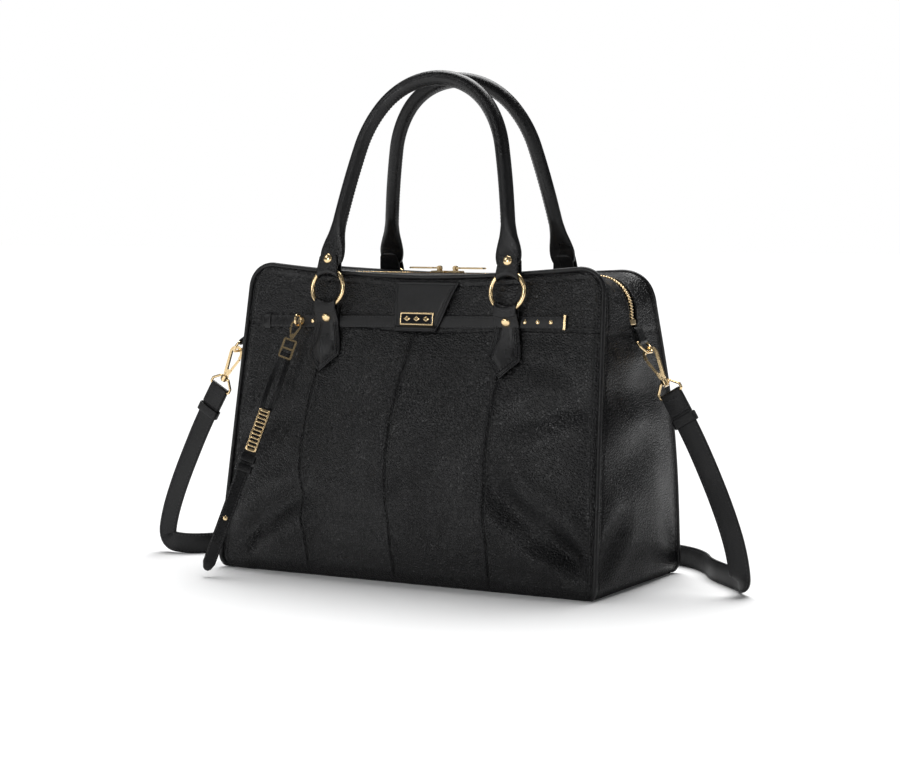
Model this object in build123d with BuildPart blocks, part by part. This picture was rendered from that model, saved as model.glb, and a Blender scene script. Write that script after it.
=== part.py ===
"""Leather satchel-style diaper bag: zipped shell, rolled handles in rings, clip-on strap and charm.

Millimetres. +X is the bag's right as seen from the front, -Y is the front, +Z is up.
The origin is on the floor under the middle of the base.
"""

from build123d import *
from math import atan2, cos, degrees, radians, sin, tan
import os

os.makedirs("parts", exist_ok=True)

# ---- driving dimensions --------------------------------------------------------------------------
BASE_HALF_WIDTH = 198.0
TOP_HALF_WIDTH = 190.5
BASE_HALF_DEPTH = 92.0
TOP_HALF_DEPTH = 49.7
SHELL_HEIGHT = 282.0
TOP_CORNER_RADIUS = 36.0
LEATHER = 2.4
LINING = 1.0
BASE_THICKNESS = 3.0
YOKE_SEAM_HEIGHT = 232.0
PANEL_SEAMS = (-93.0, 0.0, 93.0)
PIPING_RADIUS = 2.0
CLEARANCE = 0.3

TAB_X = 95.0
RING_RADIUS = 16.9
RING_WIRE = 2.1
RING_SLANT_HEIGHT = 269.0
RING_STANDOFF = 7.5
LOOP_INNER = 3.5
LOOP_OUTER = 5.0
LOOP_HALF_WIDTH = 6.0

HANDLE_LEAN = 12.1
HANDLE_TUBE = 6.5
HANDLE_CORE = 4.4
HANDLE_ARCS = ((763.0, 8.0), (100.0, 24.0), (72.0, 104.0), (100.0, 24.0), (763.0, 8.0))
HANDLE_FOOT = (-93.4, 12.0)

ZIP_HALF_GAP = 0.8
TEETH_WIDTH = 2.5
TEETH_DROP = 1.0
TEETH_DEPTH = 3.0
TAPE_DROP = 2.7
TAPE_DEPTH = 1.0
TAPE_REACH = 15.0
ZIP_SLOT = 8.0
ZIP_END_HEIGHT = 237.0

STRAP_WIDTH = 20.0
STRAP_THICKNESS = 3.0
HOOK_LEAN = 30.5
D_RING_BAR = (199.0, 222.0)
D_RING_EYE = (207.0, 213.0)
LEFT_SHIFT = (-5.0, -40.0, -10.0)

FACE_TILT = degrees(atan2(BASE_HALF_DEPTH - TOP_HALF_DEPTH, SHELL_HEIGHT))
TILT = radians(FACE_TILT)
SLANT_TOP = SHELL_HEIGHT / cos(TILT)
SLANT_SEAM = YOKE_SEAM_HEIGHT / cos(TILT)

# the sloping outer faces of the shell: local x across the face as its viewer sees it, local y up the slope
FACES = {
    "front": Plane(origin=(0, -BASE_HALF_DEPTH, 0), x_dir=(1, 0, 0), z_dir=(0, -cos(TILT), sin(TILT))),
    "rear": Plane(origin=(0, BASE_HALF_DEPTH, 0), x_dir=(-1, 0, 0), z_dir=(0, cos(TILT), sin(TILT))),
}


def save(builder, name):
    """Labels a finished piece and writes it to its own file."""
    builder.part.label = name
    export_step(builder.part, f"parts/{name}.step")


def half_width(height):
    """Half width of the shell at a height."""
    return BASE_HALF_WIDTH - (BASE_HALF_WIDTH - TOP_HALF_WIDTH) * height / SHELL_HEIGHT


def half_depth(height):
    """Half depth of the shell's outside at a height."""
    return BASE_HALF_DEPTH - (BASE_HALF_DEPTH - TOP_HALF_DEPTH) * height / SHELL_HEIGHT


def arch(inset, mode=Mode.ADD):
    """The shell's outline seen from the front, drawn smaller by an inset on the sides and the top."""
    top = SHELL_HEIGHT - inset
    with BuildLine() as outline:
        FilletPolyline(
            (-half_width(0) + inset, 0),
            (-half_width(top) + inset, top),
            (half_width(top) - inset, top),
            (half_width(0) - inset, 0),
            radius=TOP_CORNER_RADIUS - inset,
        )
        Line((half_width(0) - inset, 0), (-half_width(0) + inset, 0))
    make_face(outline.edges(), mode=mode)


def hoop(outer_inset, inner_inset, low):
    """The band between two insets of the arch, above a height."""
    arch(outer_inset)
    arch(inner_inset, mode=Mode.SUBTRACT)
    with Locations((0, low / 2)):
        Rectangle(3 * BASE_HALF_WIDTH, low, mode=Mode.SUBTRACT)


def depth_profile(inset, low, high):
    """The shell's side outline between two heights, drawn smaller by an inset at front and rear."""
    level = inset / cos(TILT)
    Polygon(
        (-half_depth(low) + level, low),
        (half_depth(low) - level, low),
        (half_depth(high) - level, high),
        (-half_depth(high) + level, high),
        align=None,
    )


# ---- shell: front and back panels ----------------------------------------------------------------
FAR = 400.0


def face_panel(name, side, left, right, low, high):
    """A leather panel lying in one sloping face between two seams and two slant heights."""
    with BuildPart() as panel:
        with BuildSketch(Plane.XZ):
            arch(0)
        extrude(amount=FAR, both=True)
        with BuildSketch(FACES[side]):
            with Locations(((left + right) / 2, (low + high) / 2)):
                Rectangle(right - left, high - low)
        extrude(amount=-LEATHER, mode=Mode.INTERSECT)
    save(panel, name)


edges = (-BASE_HALF_WIDTH - 1, *PANEL_SEAMS, BASE_HALF_WIDTH + 1)
panel_names = ("front_panel_far_left", "front_panel_left", "front_panel_right", "front_panel_far_right")
for name, left, right in zip(panel_names, edges[:-1], edges[1:]):
    face_panel(name, "front", left, right, 0, SLANT_SEAM)
face_panel("front_yoke", "front", edges[0], edges[-1], SLANT_SEAM, SLANT_TOP)
face_panel("back_panel", "rear", edges[0], edges[-1], 0, SLANT_SEAM)
face_panel("back_yoke", "rear", edges[0], edges[-1], SLANT_SEAM, SLANT_TOP)

# ---- shell: gussets, base and lining -------------------------------------------------------------
for name, side in (("gusset_left", -1), ("gusset_right", 1)):
    with BuildPart() as gusset:
        with BuildSketch(Plane.XZ):
            hoop(0, LEATHER, BASE_THICKNESS)
            with Locations((side * BASE_HALF_WIDTH, YOKE_SEAM_HEIGHT / 2)):
                Rectangle(BASE_HALF_WIDTH, YOKE_SEAM_HEIGHT, mode=Mode.INTERSECT)
        extrude(amount=FAR, both=True)
        with BuildSketch(Plane.YZ):
            depth_profile(LEATHER, 0, SHELL_HEIGHT)
        extrude(amount=FAR, both=True, mode=Mode.INTERSECT)
    save(gusset, name)

for name, side in (("top_gusset_front", -1), ("top_gusset_rear", 1)):
    with BuildPart() as top_gusset:
        with BuildSketch(Plane.XZ):
            hoop(0, LEATHER, YOKE_SEAM_HEIGHT)
        extrude(amount=FAR, both=True)
        with BuildSketch(Plane.YZ):
            depth_profile(LEATHER, 0, SHELL_HEIGHT + 1)
            with Locations((side * (ZIP_SLOT + FAR / 2), SHELL_HEIGHT / 2)):
                Rectangle(FAR, 2 * SHELL_HEIGHT, mode=Mode.INTERSECT)
        extrude(amount=FAR, both=True, mode=Mode.INTERSECT)
    save(top_gusset, name)

with BuildPart() as base_panel:
    with BuildSketch(Plane.XZ):
        arch(0)
        with Locations((0, BASE_THICKNESS / 2)):
            Rectangle(3 * BASE_HALF_WIDTH, BASE_THICKNESS, mode=Mode.INTERSECT)
    extrude(amount=FAR, both=True)
    with BuildSketch(Plane.YZ):
        depth_profile(LEATHER, 0, BASE_THICKNESS)
    extrude(amount=FAR, both=True, mode=Mode.INTERSECT)
save(base_panel, "base_panel")

BOARD_MARGIN = 9.0
with BuildPart() as base_board:
    with BuildSketch(Plane.XY.offset(BASE_THICKNESS)):
        RectangleRounded(
            2 * (BASE_HALF_WIDTH - BOARD_MARGIN), 2 * (BASE_HALF_DEPTH - BOARD_MARGIN), BOARD_MARGIN
        )
    extrude(amount=LEATHER)
save(base_board, "base_board")

LINING_INSET = LEATHER + CLEARANCE
LINING_FLOOR = BASE_THICKNESS + LEATHER
LINING_TOP = 230.0


def bag_block(inset, low, high):
    """A solid block that fills the shell between two heights, smaller by an inset on every side."""
    with BuildPart() as block:
        with BuildSketch(Plane.XZ):
            arch(inset)
            with Locations((0, (low + high) / 2)):
                Rectangle(3 * BASE_HALF_WIDTH, high - low, mode=Mode.INTERSECT)
        extrude(amount=FAR, both=True)
        with BuildSketch(Plane.YZ):
            depth_profile(inset, low, high)
        extrude(amount=FAR, both=True, mode=Mode.INTERSECT)
    return block.part


lining_outside = bag_block(LINING_INSET, LINING_FLOOR, LINING_TOP)
lining_cavity = bag_block(LINING_INSET + LINING, LINING_FLOOR + LINING, LINING_TOP)
with BuildPart() as lining:
    add(lining_outside)
    add(lining_cavity, mode=Mode.SUBTRACT)
save(lining, "lining")

POCKET_GAP = 8.0
SLIP_POCKET = (170.0, 120.0)
SLIP_POCKET_CENTRE = 95.0
with BuildPart() as slip_pocket:
    with BuildSketch(FACES["rear"].offset(-LINING_INSET - LINING - CLEARANCE)):
        with Locations((0, SLIP_POCKET_CENTRE)):
            Rectangle(*SLIP_POCKET)
    extrude(amount=-POCKET_GAP - 2 * LINING)
    with BuildSketch(FACES["rear"].offset(-LINING_INSET - 2 * LINING - CLEARANCE)):
        with Locations((0, SLIP_POCKET_CENTRE + LINING)):
            Rectangle(SLIP_POCKET[0] - 2 * LINING, SLIP_POCKET[1])
    extrude(amount=-POCKET_GAP, mode=Mode.SUBTRACT)
save(slip_pocket, "slip_pocket")

BOTTLE_POCKET = (36.0, 84.0, 110.0)
BOTTLE_POCKET_X = 165.0
BOTTLE_POCKET_FLOOR = LINING_FLOOR + LINING + CLEARANCE
with BuildPart() as bottle_pockets:
    with Locations(
        (-BOTTLE_POCKET_X, 0, BOTTLE_POCKET_FLOOR + BOTTLE_POCKET[2] / 2),
        (BOTTLE_POCKET_X, 0, BOTTLE_POCKET_FLOOR + BOTTLE_POCKET[2] / 2),
    ):
        Box(*BOTTLE_POCKET)
        with Locations((0, 0, LINING)):
            Box(
                BOTTLE_POCKET[0] - 2 * LINING,
                BOTTLE_POCKET[1] - 2 * LINING,
                BOTTLE_POCKET[2],
                mode=Mode.SUBTRACT,
            )
save(bottle_pockets, "bottle_pockets")

# ---- corded piping round the front and the rear panel --------------------------------------------
PIPING_INSET = 5.0
with BuildPart() as piping:
    for side in FACES:
        with BuildLine(FACES[side].offset(PIPING_RADIUS + CLEARANCE)) as piping_line:
            FilletPolyline(
                (-BASE_HALF_WIDTH + PIPING_INSET, PIPING_INSET),
                (-TOP_HALF_WIDTH + PIPING_INSET, SLANT_TOP - PIPING_INSET),
                (TOP_HALF_WIDTH - PIPING_INSET, SLANT_TOP - PIPING_INSET),
                (BASE_HALF_WIDTH - PIPING_INSET, PIPING_INSET),
                radius=TOP_CORNER_RADIUS - PIPING_INSET,
            )
        with BuildSketch(Plane(origin=piping_line.line @ 0, z_dir=piping_line.line % 0)):
            Circle(PIPING_RADIUS)
        sweep()
save(piping, "piping")

# ---- zip: tapes, teeth, end stops ----------------------------------------------------------------
TAPE_EDGE = ZIP_HALF_GAP + TEETH_WIDTH + CLEARANCE
with BuildPart() as zip_teeth:
    for side in (-1, 1):
        with BuildSketch(Plane.XZ.offset(side * ZIP_HALF_GAP)):
            hoop(TEETH_DROP, TEETH_DROP + TEETH_DEPTH, ZIP_END_HEIGHT)
        extrude(amount=side * TEETH_WIDTH)
save(zip_teeth, "zip_teeth")

with BuildPart() as zip_tapes:
    for side in (-1, 1):
        with BuildSketch(Plane.XZ.offset(side * TAPE_EDGE)):
            hoop(TAPE_DROP, TAPE_DROP + TAPE_DEPTH, ZIP_END_HEIGHT)
        extrude(amount=side * (TAPE_REACH - TAPE_EDGE))
save(zip_tapes, "zip_tapes")

STOP = (3.0, 6.4, 3.4)
STOP_HEIGHT = ZIP_END_HEIGHT - CLEARANCE - STOP[2] / 2
with BuildPart() as zip_end_stops:
    for side in (-1, 1):
        with Locations((side * (half_width(STOP_HEIGHT) - TEETH_DROP - STOP[0] / 2), 0, STOP_HEIGHT)):
            Box(*STOP)
save(zip_end_stops, "zip_end_stops")

SLIDER_LENGTH = 15.0
SLIDER_WIDTH = 9.0
SLIDER_PLATE = 1.6
SLIDER_START = 1.0
SLIDER_CORNER = 1.2
NECK_LENGTH = 13.0
NECK_THICKNESS = 1.0
PULL_BAR_RADIUS = 0.9
PULL_BAR_RISE = 2.6
PULL_EYE_RADIUS = 2.2
PULL_EYE_WIDTH = 3.8
PULL_NECK = 8.0
PULL_START = 5.0
PULL_LENGTH = 27.0
PULL_WIDTH = 7.0
PULL_CORNER = 2.5
PULL_HOLE_RADIUS = 1.6
PULL_HOLE_MARGIN = 4.0
PULL_THICKNESS = 1.6
BAR_RUNNING_GAP = 0.08
POST = (2.4, 1.0, 4.0)
POST_SPREAD = 2.7
chain_top = SHELL_HEIGHT - TEETH_DROP
chain_bottom = chain_top - TEETH_DEPTH
slider_top = chain_top + CLEARANCE + SLIDER_PLATE
slider_bottom = chain_bottom - CLEARANCE - SLIDER_PLATE
bar_height = slider_top + PULL_BAR_RISE
post_height = bar_height - 1.0
for name, side in (("left", -1), ("right", 1)):
    middle = side * (SLIDER_START + SLIDER_LENGTH / 2)
    with BuildPart() as slider:
        for height in (slider_top - SLIDER_PLATE / 2, slider_bottom + SLIDER_PLATE / 2):
            with Locations((middle, 0, height)):
                Box(SLIDER_LENGTH, SLIDER_WIDTH, SLIDER_PLATE)
        with Locations((middle, 0, (slider_top + slider_bottom) / 2)):
            Box(NECK_LENGTH, NECK_THICKNESS, slider_top - slider_bottom)
        fillet(slider.edges().filter_by(Axis.Z).group_by(SortBy.LENGTH)[0], SLIDER_CORNER)
        with Locations((middle, POST_SPREAD, post_height), (middle, -POST_SPREAD, post_height)):
            Box(*POST)
        with Locations((middle, 0, bar_height)):
            Cylinder(PULL_BAR_RADIUS, 2 * POST_SPREAD, rotation=(90, 0, 0))
    save(slider, f"zip_slider_{name}")
    with BuildPart() as pull:
        with BuildSketch(Plane.XZ.offset(-PULL_EYE_WIDTH / 2)):
            with Locations((middle, bar_height)):
                Circle(PULL_EYE_RADIUS)
            with Locations((middle + side * PULL_NECK / 2, bar_height)):
                Rectangle(PULL_NECK, PULL_THICKNESS)
            with Locations((middle, bar_height)):
                Circle(PULL_BAR_RADIUS + BAR_RUNNING_GAP, mode=Mode.SUBTRACT)
        extrude(amount=PULL_EYE_WIDTH)
        with BuildSketch(Plane.XY.offset(bar_height - PULL_THICKNESS / 2)):
            with Locations((middle + side * (PULL_START + PULL_LENGTH / 2), 0)):
                RectangleRounded(PULL_LENGTH, PULL_WIDTH, PULL_CORNER)
            with Locations((middle + side * (PULL_START + PULL_LENGTH - PULL_HOLE_MARGIN), 0)):
                Circle(PULL_HOLE_RADIUS, mode=Mode.SUBTRACT)
        extrude(amount=PULL_THICKNESS)
    save(pull, f"zip_pull_{name}")

# ---- belt strap, flap and nameplate across the front yoke ----------------------------------------
BELT = (324.0, 11.5, 1.7)
BELT_CENTRE = (-9.0, 240.0)
BELT_SLOPE = 1.1
BELT_LIFT = 0.1
BELT_CORNER = 2.0
BELT_TIP = (151.5, 2.2, 13.0)
BELT_KEEPER = (-163.0, 7.0, 14.0)
STUD_PLACES = (112.0, 125.0, -112.0)
STUD_RADIUS = 2.0
STUD_THICKNESS = 1.2
belt_plane = FACES["front"].offset(BELT_LIFT)
with BuildPart() as belt_strap:
    with BuildSketch(belt_plane):
        with Locations(Location((*BELT_CENTRE, 0), (0, 0, BELT_SLOPE))):
            RectangleRounded(BELT[0], BELT[1], BELT_CORNER)
    extrude(amount=BELT[2])
save(belt_strap, "belt_strap")


def belt_height(x):
    """Slant height of the belt strap's centre line at a place across the yoke."""
    return BELT_CENTRE[1] + (x - BELT_CENTRE[0]) * tan(radians(BELT_SLOPE))


with BuildPart() as belt_tip:
    with BuildSketch(belt_plane.offset(BELT[2])):
        with Locations((BELT_TIP[0], belt_height(BELT_TIP[0]))):
            Rectangle(*BELT_TIP[1:])
    extrude(amount=STUD_THICKNESS)
save(belt_tip, "belt_tip")

with BuildPart() as belt_keeper:
    with BuildSketch(belt_plane.offset(BELT[2])):
        with Locations((BELT_KEEPER[0], belt_height(BELT_KEEPER[0]))):
            Rectangle(*BELT_KEEPER[1:])
    extrude(amount=STUD_THICKNESS)
save(belt_keeper, "belt_keeper")

with BuildPart() as belt_studs:
    with BuildSketch(belt_plane.offset(BELT[2])):
        with Locations(*[(x, belt_height(x)) for x in STUD_PLACES]):
            Circle(STUD_RADIUS)
    extrude(amount=STUD_THICKNESS)
save(belt_studs, "belt_studs")

TRIM_LIFT = BELT_LIFT + BELT[2] + CLEARANCE
FLAP_THICKNESS = 2.2
FLAP_OUTLINE = ((-24, 277), (42, 276), (23, 232.5), (-21, 232.5))
NAMEPLATE = (35.0, 11.0, 1.3)
NAMEPLATE_CENTRE = (2.5, 242.5)
with BuildPart() as flap:
    with BuildSketch(FACES["front"].offset(TRIM_LIFT)):
        Polygon(*FLAP_OUTLINE, align=None)
    extrude(amount=FLAP_THICKNESS)
save(flap, "flap")

with BuildPart() as nameplate:
    with BuildSketch(FACES["front"].offset(TRIM_LIFT + FLAP_THICKNESS)):
        with Locations(NAMEPLATE_CENTRE):
            Rectangle(*NAMEPLATE[:2])
    extrude(amount=NAMEPLATE[2])
save(nameplate, "nameplate")

# ---- handle tabs, rings and handles, front and rear ----------------------------------------------
TAB_THICKNESS = 2.5
TAB_OUTLINE = ((-10, 251), (10, 251), (11.5, 238), (17.5, 208), (0, 191), (-17.5, 208), (-11.5, 238))
RIVET_RADIUS = 4.3
RIVET_HEIGHT = 1.6
RIVET_CHAMFER = 0.5
TAB_RIVET_HEIGHT = 242.0
HANDLE_RIVET_HEIGHT = 11.0
HANDLE_END_OUTLINE = ((-8, 3), (8, 3), (12, 10), (13, 17), (8, 34), (-8, 34), (-13, 17), (-12, 10))
HANDLE_END_THICKNESS = 5.0
GRIP_SETBACK = 0.9
CORE_SETBACK = 2.4
ring_bottom = RING_SLANT_HEIGHT - RING_RADIUS
ring_top = RING_SLANT_HEIGHT + RING_RADIUS
lean = radians(HANDLE_LEAN)


def rivet_caps(plane, places):
    """Domed rivet heads standing on a plane."""
    with BuildPart() as caps:
        with BuildSketch(plane):
            with Locations(*places):
                Circle(RIVET_RADIUS)
        extrude(amount=RIVET_HEIGHT)
        chamfer(caps.faces().sort_by(Axis(plane.origin, plane.z_dir))[-1].edges(), RIVET_CHAMFER)
    return caps.part


def handle_wire(setback):
    """The handle's centre line in its own plane, shortened by an angle of its long legs at both ends."""
    rise = radians(sum(size for _, size in HANDLE_ARCS) / 2)
    leg_radius, leg_size = HANDLE_ARCS[0]
    with BuildLine() as centre_line:
        whole_leg = JernArc(HANDLE_FOOT, (cos(rise), sin(rise)), leg_radius, -leg_size, mode=Mode.PRIVATE)
        point, tangent = whole_leg @ (setback / leg_size), whole_leg % (setback / leg_size)
        for number, (radius, size) in enumerate(HANDLE_ARCS):
            is_leg = number in (0, len(HANDLE_ARCS) - 1)
            arc = JernArc(point, tangent, radius, -(size - setback if is_leg else size))
            point, tangent = arc @ 1, arc % 1
    return centre_line.wire()


tab_rivet_solids = []
for side, sign in (("front", -1), ("rear", 1)):
    face = FACES[side]
    eye = face.from_local_coords((0, ring_bottom, RING_STANDOFF))
    with BuildPart() as handle_tabs:
        with BuildSketch(face.offset(TRIM_LIFT)):
            with Locations((-TAB_X, 0), (TAB_X, 0)):
                Polygon(*TAB_OUTLINE, align=None)
        extrude(amount=TAB_THICKNESS)
        for x in (-TAB_X, TAB_X):
            with BuildSketch(Plane.YZ.offset(x - LOOP_HALF_WIDTH)):
                with Locations((eye.Y, eye.Z)):
                    Circle(LOOP_OUTER)
            extrude(amount=2 * LOOP_HALF_WIDTH)
        with BuildSketch(Plane.YZ.offset(-2 * TAB_X)):
            with Locations((eye.Y, eye.Z)):
                Circle(LOOP_INNER)
        extrude(amount=4 * TAB_X, mode=Mode.SUBTRACT)
    save(handle_tabs, f"{side}_handle_tabs")
    rivet_places = ((-TAB_X, TAB_RIVET_HEIGHT), (TAB_X, TAB_RIVET_HEIGHT))
    tab_rivet_solids.append(rivet_caps(face.offset(TRIM_LIFT + TAB_THICKNESS), rivet_places))

    with BuildPart(face.offset(RING_STANDOFF)) as rings:
        with Locations((-TAB_X, RING_SLANT_HEIGHT), (TAB_X, RING_SLANT_HEIGHT)):
            Torus(RING_RADIUS, RING_WIRE)
    save(rings, f"{side}_rings")

    foot = face.from_local_coords((0, ring_top, RING_STANDOFF))
    handle_plane = Plane(origin=foot, x_dir=(-sign, 0, 0), z_dir=(0, sign * cos(lean), sin(lean)))
    grip_path = handle_wire(GRIP_SETBACK).moved(handle_plane.location)
    core_path = handle_wire(CORE_SETBACK).moved(handle_plane.location)
    with BuildPart() as handle:
        with BuildSketch(Plane(origin=grip_path @ 0, z_dir=grip_path % 0)):
            Circle(HANDLE_TUBE)
        sweep(path=grip_path)
        with BuildSketch(handle_plane):
            with Locations((-TAB_X, 0), (TAB_X, 0)):
                Polygon(*HANDLE_END_OUTLINE, align=None)
        extrude(amount=HANDLE_END_THICKNESS / 2, both=True)
        for x in (-TAB_X, TAB_X):
            with BuildSketch(Plane.YZ.offset(x - LOOP_HALF_WIDTH)):
                with Locations((foot.Y, foot.Z)):
                    Circle(LOOP_OUTER)
            extrude(amount=2 * LOOP_HALF_WIDTH)
        with BuildSketch(Plane.YZ.offset(-2 * TAB_X)):
            with Locations((foot.Y, foot.Z)):
                Circle(LOOP_INNER)
        extrude(amount=4 * TAB_X, mode=Mode.SUBTRACT)
        with BuildSketch(Plane(origin=core_path @ 0, z_dir=core_path % 0)):
            Circle(HANDLE_CORE + CLEARANCE)
        sweep(path=core_path, mode=Mode.SUBTRACT)
    save(handle, f"{side}_handle")
    with BuildPart() as handle_core:
        with BuildSketch(Plane(origin=core_path @ 0, z_dir=core_path % 0)):
            Circle(HANDLE_CORE)
        sweep(path=core_path)
    save(handle_core, f"{side}_handle_core")
    with BuildPart() as handle_rivets:
        add(
            rivet_caps(
                handle_plane.offset(HANDLE_END_THICKNESS / 2),
                ((-TAB_X, HANDLE_RIVET_HEIGHT), (TAB_X, HANDLE_RIVET_HEIGHT)),
            )
        )
    save(handle_rivets, f"{side}_handle_rivets")

with BuildPart() as tab_rivets:
    for caps in tab_rivet_solids:
        add(caps)
save(tab_rivets, "tab_rivets")

# ---- side tabs and D-rings -----------------------------------------------------------------------
TAB_TOP = 231.0
SIDE_TAB_HALF_WIDTH = 7.4
SIDE_TAB_LIFT = 0.1
SIDE_TAB_THICKNESS = 2.5
D_WIRE = 1.3
D_HALF_WIDTH = 9.5
D_SHOULDER = 0.4
D_TIP = 0.55
WIRE_BEND = 1.8
SIDE_EYE_RADIUS = 3.6
RUNNING_GAP = 0.05
left_bar = (-D_RING_BAR[0] + LEFT_SHIFT[0], D_RING_BAR[1] + LEFT_SHIFT[2])
left_eye = (-D_RING_EYE[0] + LEFT_SHIFT[0], D_RING_EYE[1] + LEFT_SHIFT[2])
sides = (
    ("left", -1, LEFT_SHIFT[1], left_bar, left_eye),
    ("right", 1, 0.0, D_RING_BAR, D_RING_EYE),
)
for name, sign, y, bar, eye in sides:
    low = bar[1] - SIDE_EYE_RADIUS
    with BuildPart() as side_tab:
        with BuildSketch(Plane.XZ.offset(-y)) as tab_side:
            Polygon(
                (sign * (half_width(TAB_TOP) + SIDE_TAB_LIFT), TAB_TOP),
                (sign * (half_width(TAB_TOP) + SIDE_TAB_LIFT + SIDE_TAB_THICKNESS), TAB_TOP),
                (sign * (half_width(low) + SIDE_TAB_LIFT), low),
                align=None,
            )
            with Locations(bar):
                Circle(SIDE_EYE_RADIUS)
            make_hull()
            with Locations(bar):
                Circle(D_WIRE + RUNNING_GAP, mode=Mode.SUBTRACT)
        extrude(amount=SIDE_TAB_HALF_WIDTH, both=True)
    save(side_tab, f"side_tab_{name}")
    drop = Vector(eye[0], y, eye[1]) - Vector(bar[0], y, bar[1])
    d_normal = Vector(0, 1, 0).cross(drop.normalized())
    d_plane = Plane(origin=(bar[0], y, bar[1]), x_dir=(0, 1, 0), z_dir=d_normal)
    with BuildPart() as d_ring:
        with BuildLine(d_plane):
            FilletPolyline(
                (-D_HALF_WIDTH, 0),
                (D_HALF_WIDTH, 0),
                (D_HALF_WIDTH, drop.length * D_SHOULDER),
                (D_HALF_WIDTH * D_TIP, drop.length),
                (-D_HALF_WIDTH * D_TIP, drop.length),
                (-D_HALF_WIDTH, drop.length * D_SHOULDER),
                radius=WIRE_BEND,
                close=True,
            )
        with BuildSketch(Plane(origin=(bar[0], y, bar[1]), z_dir=(0, 1, 0))):
            Circle(D_WIRE)
        sweep()
    save(d_ring, f"d_ring_{name}")

# ---- snap hooks, their gates and swivel loops ----------------------------------------------------
HOOK_EYE = (2.6, 7.4, 4.9)
HOOK_FOOT = (25.0, 3.0)
HOOK_THROAT = (20.0, 1.2)
HOOK_HALF_THICKNESS = 1.25
GATE_TIP = (6.9, -5.9)
GATE_PIVOT = (19.2, -3.2)
GATE_RADIUS = 1.0
GATE_WINDOW = (5.5, 20.5)
STEM_RADIUS = 1.5
STEM_HEAD_RADIUS = 2.6
HUB = (28.4, 32.8, 3.6)
LOOP_BAR = 42.5
LOOP_HALF = 11.6
LOOP_NECK = 5.0
LOOP_WIRE = 1.3
STEM_HEAD = (33.2, 1.2)
GATE_PLAY = 0.2

hook_lean = radians(HOOK_LEAN)
along = Vector(sin(hook_lean), 0, -cos(hook_lean))
chain = Plane(origin=(D_RING_EYE[0], 0, D_RING_EYE[1]), x_dir=along, z_dir=(0, -1, 0))


def across(distance):
    """The plane square to the hook's long axis at a distance below the D-ring."""
    return Plane(origin=chain.origin + along * distance, z_dir=along)


def left_twin(part):
    """A right-hand piece's mirror image, which hangs lower and further forward on the bag's left."""
    return mirror(part, about=Plane.YZ, mode=Mode.PRIVATE).moved(Location(LEFT_SHIFT))


def both_sides(builder, stem):
    """Saves a right-hand piece and its left twin as two nodes."""
    save(builder, f"{stem}_right")
    with BuildPart() as twin:
        add(left_twin(builder.part))
    save(twin, f"{stem}_left")


with BuildPart() as snap_hook:
    with BuildSketch(chain):
        with Locations((HOOK_EYE[0], 0)):
            Circle(HOOK_EYE[1])
        with Locations((HOOK_FOOT[0], 0)):
            Circle(HOOK_FOOT[1])
        make_hull()
    extrude(amount=HOOK_HALF_THICKNESS, both=True)
    with BuildSketch(chain):
        with Locations((HOOK_EYE[0], 0)):
            Circle(HOOK_EYE[2])
        with Locations((HOOK_THROAT[0], 0)):
            Circle(HOOK_THROAT[1])
        make_hull()
    extrude(amount=2 * HOOK_HALF_THICKNESS, both=True, mode=Mode.SUBTRACT)
    with BuildSketch(chain):
        with Locations((sum(GATE_WINDOW) / 2, -HOOK_EYE[1] / 2 - 1)):
            Rectangle(GATE_WINDOW[1] - GATE_WINDOW[0], HOOK_EYE[1])
    extrude(amount=2 * HOOK_HALF_THICKNESS, both=True, mode=Mode.SUBTRACT)
    with BuildSketch(across(HOOK_FOOT[0])):
        Circle(STEM_RADIUS)
    extrude(amount=STEM_HEAD[0] + STEM_HEAD[1] - HOOK_FOOT[0])
    with BuildSketch(across(STEM_HEAD[0])):
        Circle(STEM_HEAD_RADIUS)
    extrude(amount=STEM_HEAD[1])
both_sides(snap_hook, "snap_hook")

with BuildPart() as hook_gate:
    with BuildSketch(chain):
        with Locations(GATE_TIP, GATE_PIVOT):
            Circle(GATE_RADIUS)
        make_hull()
    extrude(amount=HOOK_HALF_THICKNESS - GATE_PLAY, both=True)
both_sides(hook_gate, "hook_gate")

with BuildPart() as swivel_loop:
    with BuildSketch(across(HUB[0])):
        Circle(HUB[2])
    extrude(amount=HUB[1] - HUB[0])
    hub_middle = (HUB[0] + HUB[1]) / 2
    with BuildLine(chain) as loop_line:
        FilletPolyline(
            (LOOP_BAR, 0),
            (LOOP_BAR, LOOP_HALF),
            (LOOP_BAR - LOOP_NECK, LOOP_HALF),
            (hub_middle, LOOP_NECK),
            (hub_middle, -LOOP_NECK),
            (LOOP_BAR - LOOP_NECK, -LOOP_HALF),
            (LOOP_BAR, -LOOP_HALF),
            (LOOP_BAR, -1),
            radius=WIRE_BEND,
        )
        Line((LOOP_BAR, -1), (LOOP_BAR, 0))
    with BuildSketch(Plane(origin=loop_line.line @ 0, z_dir=loop_line.line % 0)):
        Circle(LOOP_WIRE)
    sweep()
    with BuildSketch(across(HUB[0] - 1)):
        Circle(STEM_RADIUS + RUNNING_GAP)
    extrude(amount=HUB[1] - HUB[0] + 2, mode=Mode.SUBTRACT)
with BuildPart() as swivel_loops:
    add(swivel_loop.part)
    add(left_twin(swivel_loop.part))
save(swivel_loops, "swivel_loops")

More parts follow.
